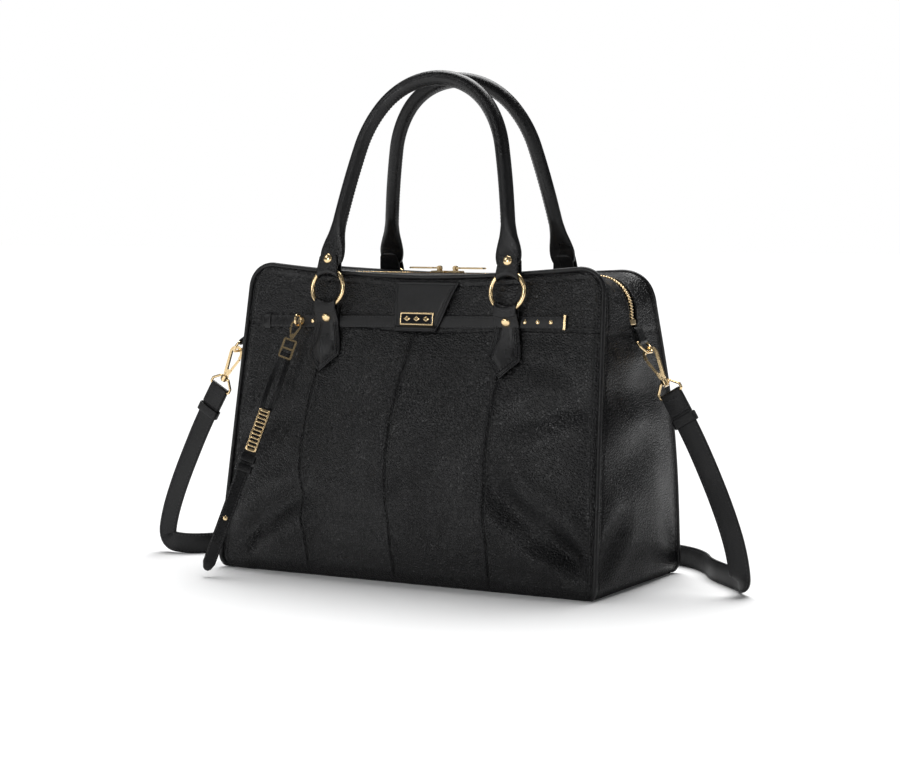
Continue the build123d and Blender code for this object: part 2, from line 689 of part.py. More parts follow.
# ---- shoulder strap: two hanging legs and the stretch that lies on its edge behind the bag -------
# Centre-line points of the whole strap, from the right swivel loop round to the left one.
RIGHT_LEG = (
    (229.3, 175.1),
    (246.6, 145.8),
    (263.5, 112.0),
    (279.5, 76.0),
    (291.5, 42.0),
    (296.5, 12.0),
)
LEFT_LEG = (
    (-234.3, 165.1),
    (-251.6, 135.8),
    (-268.0, 103.0),
    (-283.5, 70.0),
    (-295.5, 38.0),
    (-300.0, 12.0),
)
FLOOR_RUN = (
    (296.5, 0.0),
    (284.0, 27.0),
    (261.0, 49.0),
    (238.0, 72.0),
    (222.0, 101.0),
    (196.0, 126.0),
    (160.0, 138.0),
    (106.0, 143.0),
    (50.0, 146.0),
    (-6.0, 147.0),
    (-62.0, 146.0),
    (-116.0, 143.0),
    (-166.0, 136.0),
    (-204.0, 117.0),
    (-226.0, 82.0),
    (-236.0, 42.0),
    (-243.0, 4.0),
    (-254.0, -28.0),
    (-276.0, -44.0),
    (-300.0, -40.0),
)


def fillet_radii(points):
    """Each corner's radius: 0.45 of the shorter run beside it, over the tangent of half the turn."""
    radii = []
    for before, here, after in zip(points, points[1:], points[2:]):
        first, second = Vector(*here) - Vector(*before), Vector(*after) - Vector(*here)
        half_turn = radians(first.get_angle(second)) / 2
        radii.append(0.45 * min(first.length, second.length) / tan(half_turn))
    return radii


FOLD_START = 40.6
FOLD_END = 64.0
FOLD_HALF_THICKNESS = 2.8
FOLD_WIDTH = STRAP_WIDTH - 0.4
FOLD_WIRE_GAP = 0.2
KEEPER_PLACE = (64.4, 73.0)
KEEPER_OUTSIDE = (24.0, 7.4)
KEEPER_INSIDE = (20.6, 3.6)
KEEPER_CORNER = 1.2
with BuildPart() as fold:
    with BuildSketch(chain):
        with Locations(((FOLD_START + FOLD_END) / 2, 0)):
            Rectangle(FOLD_END - FOLD_START, FOLD_WIDTH)
    extrude(amount=FOLD_HALF_THICKNESS, both=True)
    with BuildSketch(Plane(origin=chain.origin + along * LOOP_BAR, z_dir=chain.y_dir)):
        Circle(LOOP_WIRE + FOLD_WIRE_GAP)
    extrude(amount=STRAP_WIDTH, both=True, mode=Mode.SUBTRACT)

with BuildPart() as strap_keeper:
    with BuildSketch(across(KEEPER_PLACE[0])):
        RectangleRounded(*KEEPER_OUTSIDE, KEEPER_CORNER)
        Rectangle(*KEEPER_INSIDE, mode=Mode.SUBTRACT)
    extrude(amount=KEEPER_PLACE[1] - KEEPER_PLACE[0])
with BuildPart() as strap_keepers:
    add(strap_keeper.part)
    add(left_twin(strap_keeper.part))
save(strap_keepers, "strap_keepers")

with BuildPart() as shoulder_strap:
    add(fold.part)
    add(left_twin(fold.part))
    for leg, y in ((RIGHT_LEG, 0.0), (LEFT_LEG, LEFT_SHIFT[1])):
        with BuildSketch(Plane.XZ.offset(-y)):
            with BuildLine() as leg_line:
                FilletPolyline(*leg, radius=fillet_radii(leg))
            trace(line_width=STRAP_WIDTH)
        extrude(amount=STRAP_THICKNESS / 2, both=True)
    with BuildSketch(Plane.XY):
        with BuildLine() as floor_line:
            FilletPolyline(*FLOOR_RUN, radius=fillet_radii(FLOOR_RUN))
        trace(line_width=STRAP_THICKNESS)
    extrude(amount=STRAP_WIDTH)
save(shoulder_strap, "shoulder_strap")

# ---- wrist charm on the left of the belt ---------------------------------------------------------
CHARM_X = -125.0
CHARM_RING = (5.0, 1.1, 8.2)
CHARM_SOCKET_RADIUS = 3.6
CHARM_PIVOT = (-1.6, 9.0)
CHARM_FOOT = (-176.0, -147.0, 2.0)
CHARM_FACING = Vector(0.57, -0.80, 0.14)
CLASP_EYE = (4.2, 5.0, 3.4)
CLASP_FOOT = (15.0, 2.2)
CLASP_THROAT = (11.5, 0.8)
CLASP_HALF_THICKNESS = 1.0
CLASP_GATE = ((7.8, -3.9), (11.7, -2.7))
CLASP_WINDOW = (6.6, 12.8)
CLASP_GATE_RADIUS = 0.8
CLASP_WINDOW_DROP = 0.6
BUCKLE = (17.6, 37.0, 13.0)
BUCKLE_CORNER = 2.0
BUCKLE_SLOT = (4.4, 7.0, 9.0)
BUCKLE_HALF_THICKNESS = 1.2
STRANDS = (37.4, 88.0)
STRAND_WIDTH = 4.6
STRAND_PLACE = 3.7
PLATE = (88.0, 130.0, 10.5)
PLATE_THICKNESS = 2.0
PLATE_BACKING_WIDTH = 12.0
CHARM_KEEPER = (133.0, 150.0)
CHARM_KEEPER_WALL = (2.7, 4.2)
CHARM_RIVET = (196.0, 2.2, 1.4)
CHARM_END = 249.0
CHARM_WIDTH = 12.0
CHARM_HALF_THICKNESS = 2.4
STRAND_HALF_THICKNESS = 1.1

belt_face = FACES["front"]
charm_ring_height = belt_height(CHARM_X)
ring_centre = belt_face.from_local_coords((CHARM_X, charm_ring_height, CHARM_RING[2]))
with BuildPart() as charm_ring:
    with BuildSketch(belt_face.offset(BELT_LIFT + BELT[2])):
        with Locations((CHARM_X, charm_ring_height)):
            Circle(CHARM_SOCKET_RADIUS)
    extrude(amount=STUD_THICKNESS)
    with Locations(Plane(origin=ring_centre, z_dir=(1, 0, 0))):
        Torus(CHARM_RING[0], CHARM_RING[1])
save(charm_ring, "charm_ring")

pivot = belt_face.from_local_coords((CHARM_X, charm_ring_height + CHARM_PIVOT[0], CHARM_PIVOT[1]))
down = (Vector(*CHARM_FOOT) - pivot).normalized()
facing = (CHARM_FACING - down * CHARM_FACING.dot(down)).normalized()
charm = Plane(origin=pivot, x_dir=down, z_dir=facing)


def charm_box(start, end, width, low, high):
    """A block along the charm: from start to end, of a width, between two heights above its middle plane."""
    with BuildPart() as block:
        with BuildSketch(charm.offset(low)):
            with Locations(((start + end) / 2, 0)):
                Rectangle(end - start, width)
        extrude(amount=high - low)
    return block.part


with BuildPart() as charm_clasp:
    with BuildSketch(charm):
        with Locations((CLASP_EYE[0], 0)):
            Circle(CLASP_EYE[1])
        with Locations((CLASP_FOOT[0], 0)):
            Circle(CLASP_FOOT[1])
        make_hull()
    extrude(amount=CLASP_HALF_THICKNESS, both=True)
    with BuildSketch(charm):
        with Locations((CLASP_EYE[0], 0)):
            Circle(CLASP_EYE[2])
        with Locations((CLASP_THROAT[0], 0)):
            Circle(CLASP_THROAT[1])
        make_hull()
    extrude(amount=2 * CLASP_HALF_THICKNESS, both=True, mode=Mode.SUBTRACT)
    with BuildSketch(charm):
        with Locations((sum(CLASP_WINDOW) / 2, -CLASP_EYE[1] / 2 - CLASP_WINDOW_DROP)):
            Rectangle(CLASP_WINDOW[1] - CLASP_WINDOW[0], CLASP_EYE[1])
    extrude(amount=2 * CLASP_HALF_THICKNESS, both=True, mode=Mode.SUBTRACT)
save(charm_clasp, "charm_clasp")

with BuildPart() as charm_gate:
    with BuildSketch(charm):
        with Locations(*CLASP_GATE):
            Circle(CLASP_GATE_RADIUS)
        make_hull()
    extrude(amount=CLASP_HALF_THICKNESS - GATE_PLAY, both=True)
save(charm_gate, "charm_gate")

with BuildPart() as charm_buckle:
    with BuildSketch(charm):
        with Locations(((BUCKLE[0] + BUCKLE[1]) / 2, 0)):
            RectangleRounded(BUCKLE[1] - BUCKLE[0], BUCKLE[2], BUCKLE_CORNER)
            with Locations((-BUCKLE_SLOT[0], 0), (BUCKLE_SLOT[0], 0)):
                Rectangle(*BUCKLE_SLOT[1:], mode=Mode.SUBTRACT)
    extrude(amount=BUCKLE_HALF_THICKNESS, both=True)
save(charm_buckle, "charm_buckle")

with BuildPart() as charm_strap:
    with BuildSketch(charm.offset(-STRAND_HALF_THICKNESS)):
        with Locations(
            (sum(STRANDS) / 2, STRAND_PLACE),
            (sum(STRANDS) / 2, -STRAND_PLACE),
        ):
            Rectangle(STRANDS[1] - STRANDS[0], STRAND_WIDTH)
        with Locations(((STRANDS[1] + CHARM_KEEPER[1]) / 2, 0)):
            Rectangle(CHARM_KEEPER[1] - STRANDS[1], PLATE_BACKING_WIDTH)
    extrude(amount=2 * STRAND_HALF_THICKNESS)
    with BuildSketch(charm.offset(-CHARM_HALF_THICKNESS)):
        with Locations(((CHARM_KEEPER[0] + CHARM_END) / 2, 0)):
            SlotOverall(CHARM_END - CHARM_KEEPER[0], CHARM_WIDTH)
    extrude(amount=2 * CHARM_HALF_THICKNESS)
save(charm_strap, "charm_strap")

with BuildPart() as charm_plate:
    plate_top = STRAND_HALF_THICKNESS + PLATE_THICKNESS
    add(charm_box(PLATE[0], PLATE[1], PLATE[2], STRAND_HALF_THICKNESS, plate_top))
save(charm_plate, "charm_plate")

with BuildPart() as charm_keeper:
    inside, outside = CHARM_KEEPER_WALL
    add(charm_box(CHARM_KEEPER[0], CHARM_KEEPER[1], CHARM_WIDTH + 4.0, -outside, outside))
    add(
        charm_box(CHARM_KEEPER[0] - 1, CHARM_KEEPER[1] + 1, CHARM_WIDTH + 0.6, -inside, inside),
        mode=Mode.SUBTRACT,
    )
save(charm_keeper, "charm_keeper")

with BuildPart() as charm_rivet:
    with BuildSketch(charm.offset(CHARM_HALF_THICKNESS)):
        with Locations((CHARM_RIVET[0], 0)):
            Circle(CHARM_RIVET[1])
    extrude(amount=CHARM_RIVET[2])
save(charm_rivet, "charm_rivet")
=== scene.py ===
from math import pi, radians

import bmesh
import bpy
import numpy as np
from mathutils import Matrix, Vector


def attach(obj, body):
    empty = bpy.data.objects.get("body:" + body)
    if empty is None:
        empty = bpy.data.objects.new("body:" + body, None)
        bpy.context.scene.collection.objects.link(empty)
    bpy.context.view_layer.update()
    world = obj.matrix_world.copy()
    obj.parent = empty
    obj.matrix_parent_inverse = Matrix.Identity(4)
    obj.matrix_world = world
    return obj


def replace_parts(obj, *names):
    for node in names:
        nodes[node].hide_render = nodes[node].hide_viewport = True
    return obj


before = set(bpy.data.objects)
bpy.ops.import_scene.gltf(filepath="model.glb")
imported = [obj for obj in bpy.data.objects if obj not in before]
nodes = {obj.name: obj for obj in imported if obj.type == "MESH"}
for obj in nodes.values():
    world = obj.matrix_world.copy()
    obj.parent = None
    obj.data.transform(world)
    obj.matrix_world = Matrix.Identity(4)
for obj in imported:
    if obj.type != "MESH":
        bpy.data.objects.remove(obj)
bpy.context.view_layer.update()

# ---- studio --------------------------------------------------------------------------------------
# A plain pale floor under a soft white dome, a broad sun that keeps the floor even, and three softboxes
# that rake along the leather so that its grain and folds show.
FLOOR_SIZE = 30.0
EYE = Vector((0.9940, -1.7558, 0.3368))
TARGET = Vector((0.0026, 0.0, 0.1765))
LENS = 86.03

scene = bpy.context.scene
scene.view_settings.view_transform = "Standard"

floor_mesh = bpy.data.meshes.new("floor")
half = FLOOR_SIZE / 2
floor_mesh.from_pydata(
    [(-half, -half, 0), (half, -half, 0), (half, half, 0), (-half, half, 0)], [], [(0, 1, 2, 3)]
)
floor = bpy.data.objects.new("floor", floor_mesh)
scene.collection.objects.link(floor)
paper = bpy.data.materials.new("studio_paper")
paper.use_nodes = True
paper.node_tree.nodes["Principled BSDF"].inputs["Base Color"].default_value = (0.93, 0.93, 0.93, 1)
paper.node_tree.nodes["Principled BSDF"].inputs["Roughness"].default_value = 0.9
floor_mesh.materials.append(paper)

world = bpy.data.worlds.new("dome")
world.use_nodes = True
scene.world = world
dome = world.node_tree
for node in list(dome.nodes):
    dome.nodes.remove(node)
seen = dome.nodes.new("ShaderNodeBackground")
seen.inputs["Color"].default_value = (1, 1, 1, 1)
seen.inputs["Strength"].default_value = 1.0
lit = dome.nodes.new("ShaderNodeBackground")
lit.inputs["Color"].default_value = (0.97, 0.985, 1, 1)
lit.inputs["Strength"].default_value = 0.12
ray = dome.nodes.new("ShaderNodeLightPath")
pick = dome.nodes.new("ShaderNodeMixShader")
sky = dome.nodes.new("ShaderNodeOutputWorld")
dome.links.new(ray.outputs["Is Camera Ray"], pick.inputs["Fac"])
dome.links.new(lit.outputs["Background"], pick.inputs[1])
dome.links.new(seen.outputs["Background"], pick.inputs[2])
dome.links.new(pick.outputs["Shader"], sky.inputs["Surface"])


def lamp(name, kind, place, aim, energy, size=1.0):
    """A lamp at a place that looks at a point; size is the side of a softbox or the angle of the sun."""
    data = bpy.data.lights.new(name, kind)
    data.energy = energy
    if kind == "AREA":
        data.size = size
    else:
        data.angle = size
    light = bpy.data.objects.new(name, data)
    light.location = place
    light.rotation_euler = (Vector(aim) - Vector(place)).to_track_quat("-Z", "Y").to_euler()
    scene.collection.objects.link(light)


lamp("even_sun", "SUN", (-0.5, 1.5, 3.0), (0, 0, 0), 3.9, radians(50))
lamp("right_softbox", "AREA", (1.9, -0.5, 1.15), (0.1, 0, 0.14), 2.2, 0.6)
lamp("left_softbox", "AREA", (-1.5, -1.3, 1.5), (0, 0, 0.2), 6, 0.8)
lamp("near_softbox", "AREA", (-0.38, -1.9, 0.62), (0.06, 0, 0.13), 6, 0.5)

eye_data = bpy.data.cameras.new("eye")
eye_data.lens = LENS
eye_data.sensor_width = 36
eye = bpy.data.objects.new("eye", eye_data)
eye.location = EYE
eye.rotation_euler = (TARGET - EYE).to_track_quat("-Z", "Y").to_euler()
scene.collection.objects.link(eye)
scene.camera = eye

# ---- shoulder strap ------------------------------------------------------------------------------
# A long flat strap of black leather, 20 by 3 mm, with painted edges and a row of stitching along each.
# It hangs face forward from the two swivel loops, turns on to its edge and lies behind the bag.
STRAP_WIDTH = 20.0
STRAP_THICKNESS = 3.0
RIGHT_LEG = ((229.3, 175.1), (246.6, 145.8), (263.5, 112.0), (279.5, 76.0), (291.5, 42.0), (296.5, 12.0))
LEFT_LEG = ((-234.3, 165.1), (-251.6, 135.8), (-268.0, 103.0), (-283.5, 70.0), (-295.5, 38.0), (-300.0, 12.0))
LEFT_LEG_Y = -40.0
FLOOR_RUN = (
    (284.0, 27.0),
    (261.0, 49.0),
    (238.0, 72.0),
    (222.0, 101.0),
    (196.0, 126.0),
    (160.0, 138.0),
    (106.0, 143.0),
    (50.0, 146.0),
    (-6.0, 147.0),
    (-62.0, 146.0),
    (-116.0, 143.0),
    (-166.0, 136.0),
    (-204.0, 117.0),
    (-226.0, 82.0),
    (-236.0, 42.0),
    (-243.0, 4.0),
    (-254.0, -28.0),
    (-276.0, -44.0),
)
BLACK = (0.0065, 0.0065, 0.0072)


def nodes_of(name):
    """A new material's node tree, its shader, and a short way to add a node and to link two sockets."""
    material = bpy.data.materials.new(name)
    material.use_nodes = True
    tree = material.node_tree

    def add(kind, inputs=(), **settings):
        node = tree.nodes.new(kind)
        for key, value in settings.items():
            setattr(node, key, value)
        for key, value in inputs:
            if isinstance(value, bpy.types.NodeSocket):
                tree.links.new(value, node.inputs[key])
            else:
                node.inputs[key].default_value = value
        return node

    return material, tree.nodes["Principled BSDF"], add, tree.links.new


def leather(name, cells, depth, rough, crease=0.0, colour=BLACK, shine=0.33):
    """Black hide: rounded pebbles, cells of them to the metre, over pores and broad unevenness, and fine
    creases if asked for."""
    material, shader, add, link = nodes_of(name)
    place = add("ShaderNodeTexCoord").outputs["Object"]
    warp = add("ShaderNodeTexNoise", [("Vector", place), ("Scale", cells * 0.45), ("Detail", 2.0)])
    bent = add(
        "ShaderNodeMix", [("Factor", 0.0022), ("A", place), ("B", warp.outputs["Color"])], data_type="VECTOR"
    )
    pebble = add(
        "ShaderNodeTexVoronoi", [
            ("Vector", bent.outputs["Result"]), ("Scale", cells)
        ], feature="DISTANCE_TO_EDGE"
    )
    dome_shape = add(
        "ShaderNodeMapRange",
        [("Value", pebble.outputs["Distance"]), ("From Max", 0.32)],
        interpolation_type="SMOOTHSTEP",
    )
    pores = add(
        "ShaderNodeTexNoise", [("Vector", place), ("Scale", cells * 4.0), ("Detail", 4.0), ("Roughness", 0.6)]
    )
    broad = add(
        "ShaderNodeTexNoise", [("Vector", place), ("Scale", 16.0), ("Detail", 3.0), ("Distortion", 0.6)]
    )
    fade = add(
        "ShaderNodeMapRange", [("Value", broad.outputs["Fac"]), ("From Min", 0.32), ("From Max", 0.68)]
    )
    fade.inputs["To Min"].default_value = 0.45
    lifted = add(
        "ShaderNodeMath", [(0, dome_shape.outputs["Result"]), (1, fade.outputs["Result"])],
        operation="MULTIPLY"
    )
    bump = add("ShaderNodeBump", [("Height", lifted.outputs[0]), ("Strength", 1.0), ("Distance", depth)])
    fine = add(
        "ShaderNodeBump",
        [
            ("Height", pores.outputs["Fac"]), ("Strength", 0.5), ("Distance", depth * 0.12),
            ("Normal", bump.outputs[0])
        ],
    )
    last = fine
    if crease:
        lines = add(
            "ShaderNodeTexNoise", [
                ("Vector", place), ("Scale", 60.0), ("Detail", 5.0), ("Distortion", 1.5)
            ], noise_type="RIDGED_MULTIFRACTAL"
        )
        last = add(
            "ShaderNodeBump",
            [
                ("Height", lines.outputs["Fac"]), ("Strength", 0.6), ("Distance", crease),
                ("Normal", fine.outputs[0])
            ],
        )
    link(last.outputs["Normal"], shader.inputs["Normal"])
    gloss = add("ShaderNodeMapRange", [("Value", broad.outputs["Fac"]), ("From Min", 0.3), ("From Max", 0.7)])
    gloss.inputs["To Min"].default_value = rough - 0.05
    gloss.inputs["To Max"].default_value = rough + 0.07
    link(gloss.outputs["Result"], shader.inputs["Roughness"])
    # Painted shade and highlight: the base colour is darker in the hollows between the pebbles and lighter on
    # their crests, following the pebble height.
    tone = add("ShaderNodeMix", [("Factor", dome_shape.outputs["Result"])], data_type="RGBA")
    tone.inputs["A"].default_value = (*[0.35 * c for c in colour], 1)
    tone.inputs["B"].default_value = (*[1.25 * c for c in colour], 1)
    link(tone.outputs["Result"], shader.inputs["Base Color"])
    shader.inputs["Specular IOR Level"].default_value = shine
    return material


def mesh_piece(name, points, faces, material, closed=False, merged=False, inside=None):
    """Points in millimetres and faces as an object in metres, flattened where they would pass the floor. A
    closed piece has its doubles merged and its faces turned outwards; an open sheet is turned so that most of
    it looks away from the point inside."""
    mesh = bpy.data.meshes.new(name)
    places = np.maximum(np.asarray(points, float).reshape(-1, 3), (-np.inf, -np.inf, 0.05))
    mesh.from_pydata(places * 0.001, [], [tuple(f) for f in faces])
    if closed or merged:
        work = bmesh.new()
        work.from_mesh(mesh)
        bmesh.ops.remove_doubles(work, verts=work.verts, dist=2e-6)
        bmesh.ops.dissolve_degenerate(work, dist=1e-7, edges=work.edges)
        if closed:
            bmesh.ops.recalc_face_normals(work, faces=work.faces)
        work.to_mesh(mesh)
        work.free()
    if inside is not None:
        count = len(mesh.polygons)
        normal = np.zeros(count * 3)
        centre = np.zeros(count * 3)
        mesh.polygons.foreach_get("normal", normal)
        mesh.polygons.foreach_get("center", centre)
        away = centre.reshape(-1, 3) - np.asarray(inside) * 0.001
        if (normal.reshape(-1, 3) * away).sum(1).mean() < 0:
            mesh.flip_normals()
    mesh.polygons.foreach_set("use_smooth", np.ones(len(mesh.polygons), bool))
    mesh.materials.append(material)
    piece = bpy.data.objects.new(name, mesh)
    scene.collection.objects.link(piece)
    return piece


def grid_faces(rows, columns, around=False, along=False):
    """The squares of a grid of rows by columns, joined round the columns or along the rows where asked."""
    index = np.arange(rows * columns).reshape(rows, columns)
    if around:
        index = np.concatenate([index, index[:, :1]], 1)
    if along:
        index = np.concatenate([index, index[:1]], 0)
    corners = (index[:-1, :-1], index[:-1, 1:], index[1:, 1:], index[1:, :-1])
    return np.stack(corners, -1).reshape(-1, 4).tolist()


def sheet_piece(name, points, material, inside, **options):
    """An open sheet: the points of a grid, rows by columns."""
    rows, columns = points.shape[:2]
    return mesh_piece(name, points, grid_faces(rows, columns), material, inside=inside, **options)


def unit(vectors):
    """Each vector over its own length."""
    return vectors / np.maximum(np.linalg.norm(vectors, axis=-1, keepdims=True), 1e-12)


def frames_along(path, across, loop=False):
    """At each point of a path: its direction, the across direction made square to it, and the third one."""
    if loop:
        forward = unit(np.roll(path, -1, 0) - np.roll(path, 1, 0))
    else:
        forward = unit(np.gradient(path, axis=0))
    across = np.broadcast_to(np.asarray(across, float), path.shape)
    across = unit(across - (across * forward).sum(-1, keepdims=True) * forward)
    return forward, across, np.cross(forward, across)


def swept(name, path, across, profile, material, loop=False):
    """A closed profile carried along a path: each point is the path's, plus the profile's first number
    across it and its second one square to that. The two ends are closed with a flat face."""
    path = np.asarray(path, float)
    profile = np.broadcast_to(np.asarray(profile, float), (len(path), *np.shape(profile)[-2:]))
    _, side, up = frames_along(path, across, loop)
    points = path[:, None] + profile[..., :1] * side[:, None] + profile[..., 1:2] * up[:, None]
    rows, columns = points.shape[:2]
    faces = grid_faces(rows, columns, around=True, along=loop)
    if not loop:
        faces += [list(range(columns))[::-1], list(range((rows - 1) * columns, rows * columns))]
    return mesh_piece(name, points, faces, material, closed=True)


def round_bar(width, thickness, corner, steps=4):
    """The outline of a flat bar with rounded corners, as points round it."""
    turn = np.linspace(0, pi / 2, steps)
    quarter = np.stack([np.cos(turn), np.sin(turn)], -1) * corner
    middle = np.array([width / 2 - corner, thickness / 2 - corner])
    q1 = quarter + middle
    q2 = (quarter * (-1, 1) + middle * (-1, 1))[::-1]
    q3 = -q1
    q4 = -q2
    return np.concatenate([q1, q2, q3, q4])


def circle(radius, count=16):
    """The points of a circle."""
    turn = np.linspace(0, 2 * pi, count, endpoint=False)
    return np.stack([np.cos(turn), np.sin(turn)], -1) * radius


def spaced(path, pitch):
    """Points every pitch along a path, found by its length so far."""
    run = np.concatenate([[0], np.cumsum(np.linalg.norm(np.diff(path, axis=0), axis=1))])
    at = np.arange(pitch / 2, run[-1], pitch)
    return np.stack([np.interp(at, run, path[:, k]) for k in range(3)], -1), at / run[-1]


def stitches(name, lines, material, pitch=3.6, length=2.5, thick=0.42):
    """Sewing along lines, each a path and the way out of the leather: one small pointed bead a stitch."""
    ring, turn = np.linspace(-1, 1, 5), np.linspace(0, 2 * pi, 5, endpoint=False)
    swell = np.sqrt(np.maximum(1 - (0.94 * ring) ** 4, 0.02))
    bead = np.stack(
        np.broadcast_arrays(
            ring[:, None] * length / 2, swell[:, None] * np.cos(turn) * thick,
            swell[:, None] * np.sin(turn) * thick
        ),
        -1
    )
    squares = np.array(grid_faces(5, 5, around=True))
    all_points, all_faces, total = [], [], 0
    for path, out in lines:
        path = np.asarray(path, float)
        out = np.broadcast_to(np.asarray(out, float), path.shape)
        centre, share = spaced(path, pitch)
        forward, _, _ = frames_along(path, out)
        run = np.concatenate([[0], np.cumsum(np.linalg.norm(np.diff(path, axis=0), axis=1))])
        spots = run / run[-1]
        ahead = unit(np.stack([np.interp(share, spots, forward[:, k]) for k in range(3)], -1))
        rise = np.stack([np.interp(share, spots, out[:, k]) for k in range(3)], -1)
        rise = unit(rise - (rise * ahead).sum(-1, keepdims=True) * ahead)
        side = np.cross(ahead, rise)
        points = (
            centre[:, None, None]
            + bead[None, ..., :1] * ahead[:, None, None]
            + bead[None, ..., 1:2] * side[:, None, None]
            + bead[None, ..., 2:] * rise[:, None, None]
        )
        count = len(centre)
        faces = squares[None] + (np.arange(count) * 25)[:, None, None] + total
        all_points.append(points.reshape(-1, 3))
        all_faces += faces.reshape(-1, 4).tolist()
        ends = np.arange(count)[:, None] * 25 + total
        all_faces += (ends + np.array([4, 3, 2, 1, 0])).tolist()
        all_faces += (ends + np.array([20, 21, 22, 23, 24])).tolist()
        total += count * 25
    return mesh_piece(name, np.concatenate(all_points), all_faces, material, closed=True)


route = [(x, 0.0, z) for x, z in RIGHT_LEG]
route += [(x, y, 10.0) for x, y in FLOOR_RUN]
route += [(x, LEFT_LEG_Y, z) for x, z in LEFT_LEG[::-1]]
strap_curve = bpy.data.curves.new("strap_route", "CURVE")
strap_curve.dimensions = "3D"
line = strap_curve.splines.new("NURBS")
line.points.add(len(route) - 1)
for point, place in zip(line.points, route):
    point.co = (place[0] / 1000, place[1] / 1000, place[2] / 1000, 1)
line.order_u = 3
line.use_endpoint_u = True
line.resolution_u = 12
strap_line = bpy.data.objects.new("strap_route", strap_curve)
scene.collection.objects.link(strap_line)
bpy.context.view_layer.update()
read = bpy.data.meshes.new_from_object(strap_line)
strap_path = np.zeros(len(read.vertices) * 3)
read.vertices.foreach_get("co", strap_path)
strap_path = strap_path.reshape(-1, 3) * 1000
bpy.data.objects.remove(strap_line)
bpy.data.curves.remove(strap_curve)
bpy.data.meshes.remove(read)
strap_run = np.concatenate([[0], np.cumsum(np.linalg.norm(np.diff(strap_path, axis=0), axis=1))])
strap_length = strap_run[-1]
even = np.linspace(0, strap_length, 520)
strap_path = np.stack([np.interp(even, strap_run, strap_path[:, k]) for k in range(3)], -1)

smooth_hide = leather("strap_hide", 900, 0.00012, 0.40)
thread, thread_shader, add, link = nodes_of("black_thread")
twist = add(
    "ShaderNodeTexWave", [("Vector", add("ShaderNodeTexCoord").outputs["Object"]), ("Scale", 900.0)],
    bands_direction="DIAGONAL"
)
link(
    add("ShaderNodeBump", [("Height", twist.outputs["Fac"]), ("Distance", 0.0001)]).outputs[0],
    thread_shader.inputs["Normal"]
)
thread_shader.inputs["Base Color"].default_value = (0.022, 0.022, 0.024, 1)
thread_shader.inputs["Roughness"].default_value = 0.55

# The strap's width is square both to its line and to the depth of the bag, so that it is level on a leg,
# upright on the floor, and turns smoothly from one to the other at each bend.
strap_across = unit(np.cross(unit(np.gradient(strap_path, axis=0)), np.array([0.0, 1.0, 0.0])))
strap_profile = round_bar(STRAP_WIDTH, STRAP_THICKNESS, 1.1)
shoulder_strap = swept("shoulder_strap_leather", strap_path, strap_across, strap_profile, smooth_hide)
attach(shoulder_strap, "strap")
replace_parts(shoulder_strap, "shoulder_strap")
_, across_unit, up_unit = frames_along(strap_path, strap_across)
sewn = []
for edge in (-1, 1):
    for face in (-1, 1):
        row = strap_path + across_unit * edge * (STRAP_WIDTH / 2 - 2.2)
        row = row + up_unit * face * (STRAP_THICKNESS / 2 + 0.05)
        sewn.append((row[14:-14], (up_unit * face)[14:-14]))
strap_sewing = stitches("shoulder_strap_stitching", sewn, thread)
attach(strap_sewing, "strap")

# ---- bag shell -----------------------------------------------------------------------------------
# Pebbled black hide sewn from a front of four panels under a yoke, a back, two gussets and two strips that
# hold the zip. It is soft: the front bellies out, the gussets sag and the lower corners are creased.
TILT = np.arctan2(92.0 - 49.7, 282.0)
HALF_DEPTH = 92.0
SEAM_AT = (-96.0, -3.0, 94.0)
SEAM_DRIFT = (-10.0, -9.0, -5.0)
LOW, EDGE_TOP, MID_TOP = 0.6, 291.0, 280.5
EDGE_RADIUS, MID_RADIUS = 24.0, 36.0
CORNER_POWER = 2.25
YOKE_UP, BULGE_UP = 232.0, 262.0
HIDE = 2.2
EDGE_SAG, REAR_SAG, SIDE_BULGE = 9.5, 5.0, 8.5
ZIP_LOW = 237.0
SLOT_HALF = 7.0
BAG_MIDDLE = (0, 0, 140)


def bell(value, middle, width):
    """A smooth hump of height one."""
    return np.exp(-(((value - middle) / width) ** 2))


def smooth(value, low, high):
    """A smooth step from 0 at low to 1 at high."""
    share = np.clip((value - low) / (high - low), 0, 1)
    return share * share * (3 - 2 * share)


def on_face(x, up, lift, side=-1):
    """A place on the sloping front (side -1) or back (side 1): x across it, up its slope, lifted off it."""
    x, up, lift = np.broadcast_arrays(np.asarray(x, float), np.asarray(up, float), np.asarray(lift, float))
    y = side * (HALF_DEPTH - np.sin(TILT) * up + np.cos(TILT) * lift)
    return np.stack([x, y, np.cos(TILT) * up + np.sin(TILT) * lift], -1)


def tuck(up):
    """How far the foot of the shell turns in towards the base."""
    return 7.0 * (1 - np.clip(up / 13.0, 0, 1)) ** 2


def face_half(up):
    """Half the width of the front and the back at a height, before the top corners."""
    return 198.0 - 0.0430 * up - tuck(up)


def fold(x, up, start, end, width, depth):
    """A soft crease along a line: a hollow, with a lower roll on each side of it, that fades at its ends."""
    start, end = np.array(start, float), np.array(end, float)
    along = (end - start) / np.linalg.norm(end - start)
    run = (x - start[0]) * along[0] + (up - start[1]) * along[1]
    off = (x - start[0]) * -along[1] + (up - start[1]) * along[0]
    off = off + 3.0 * np.sin(run / 17.0 + start[1])
    length = np.linalg.norm(end - start)
    fade = smooth(run, -0.15 * length, 0.25 * length) * (1 - smooth(run, 0.75 * length, 1.15 * length))
    shape = bell(off, 0, width) - 0.45 * bell(off, 1.9 * width, width) - 0.45 * bell(off, -1.9 * width, width)
    return -depth * shape * fade


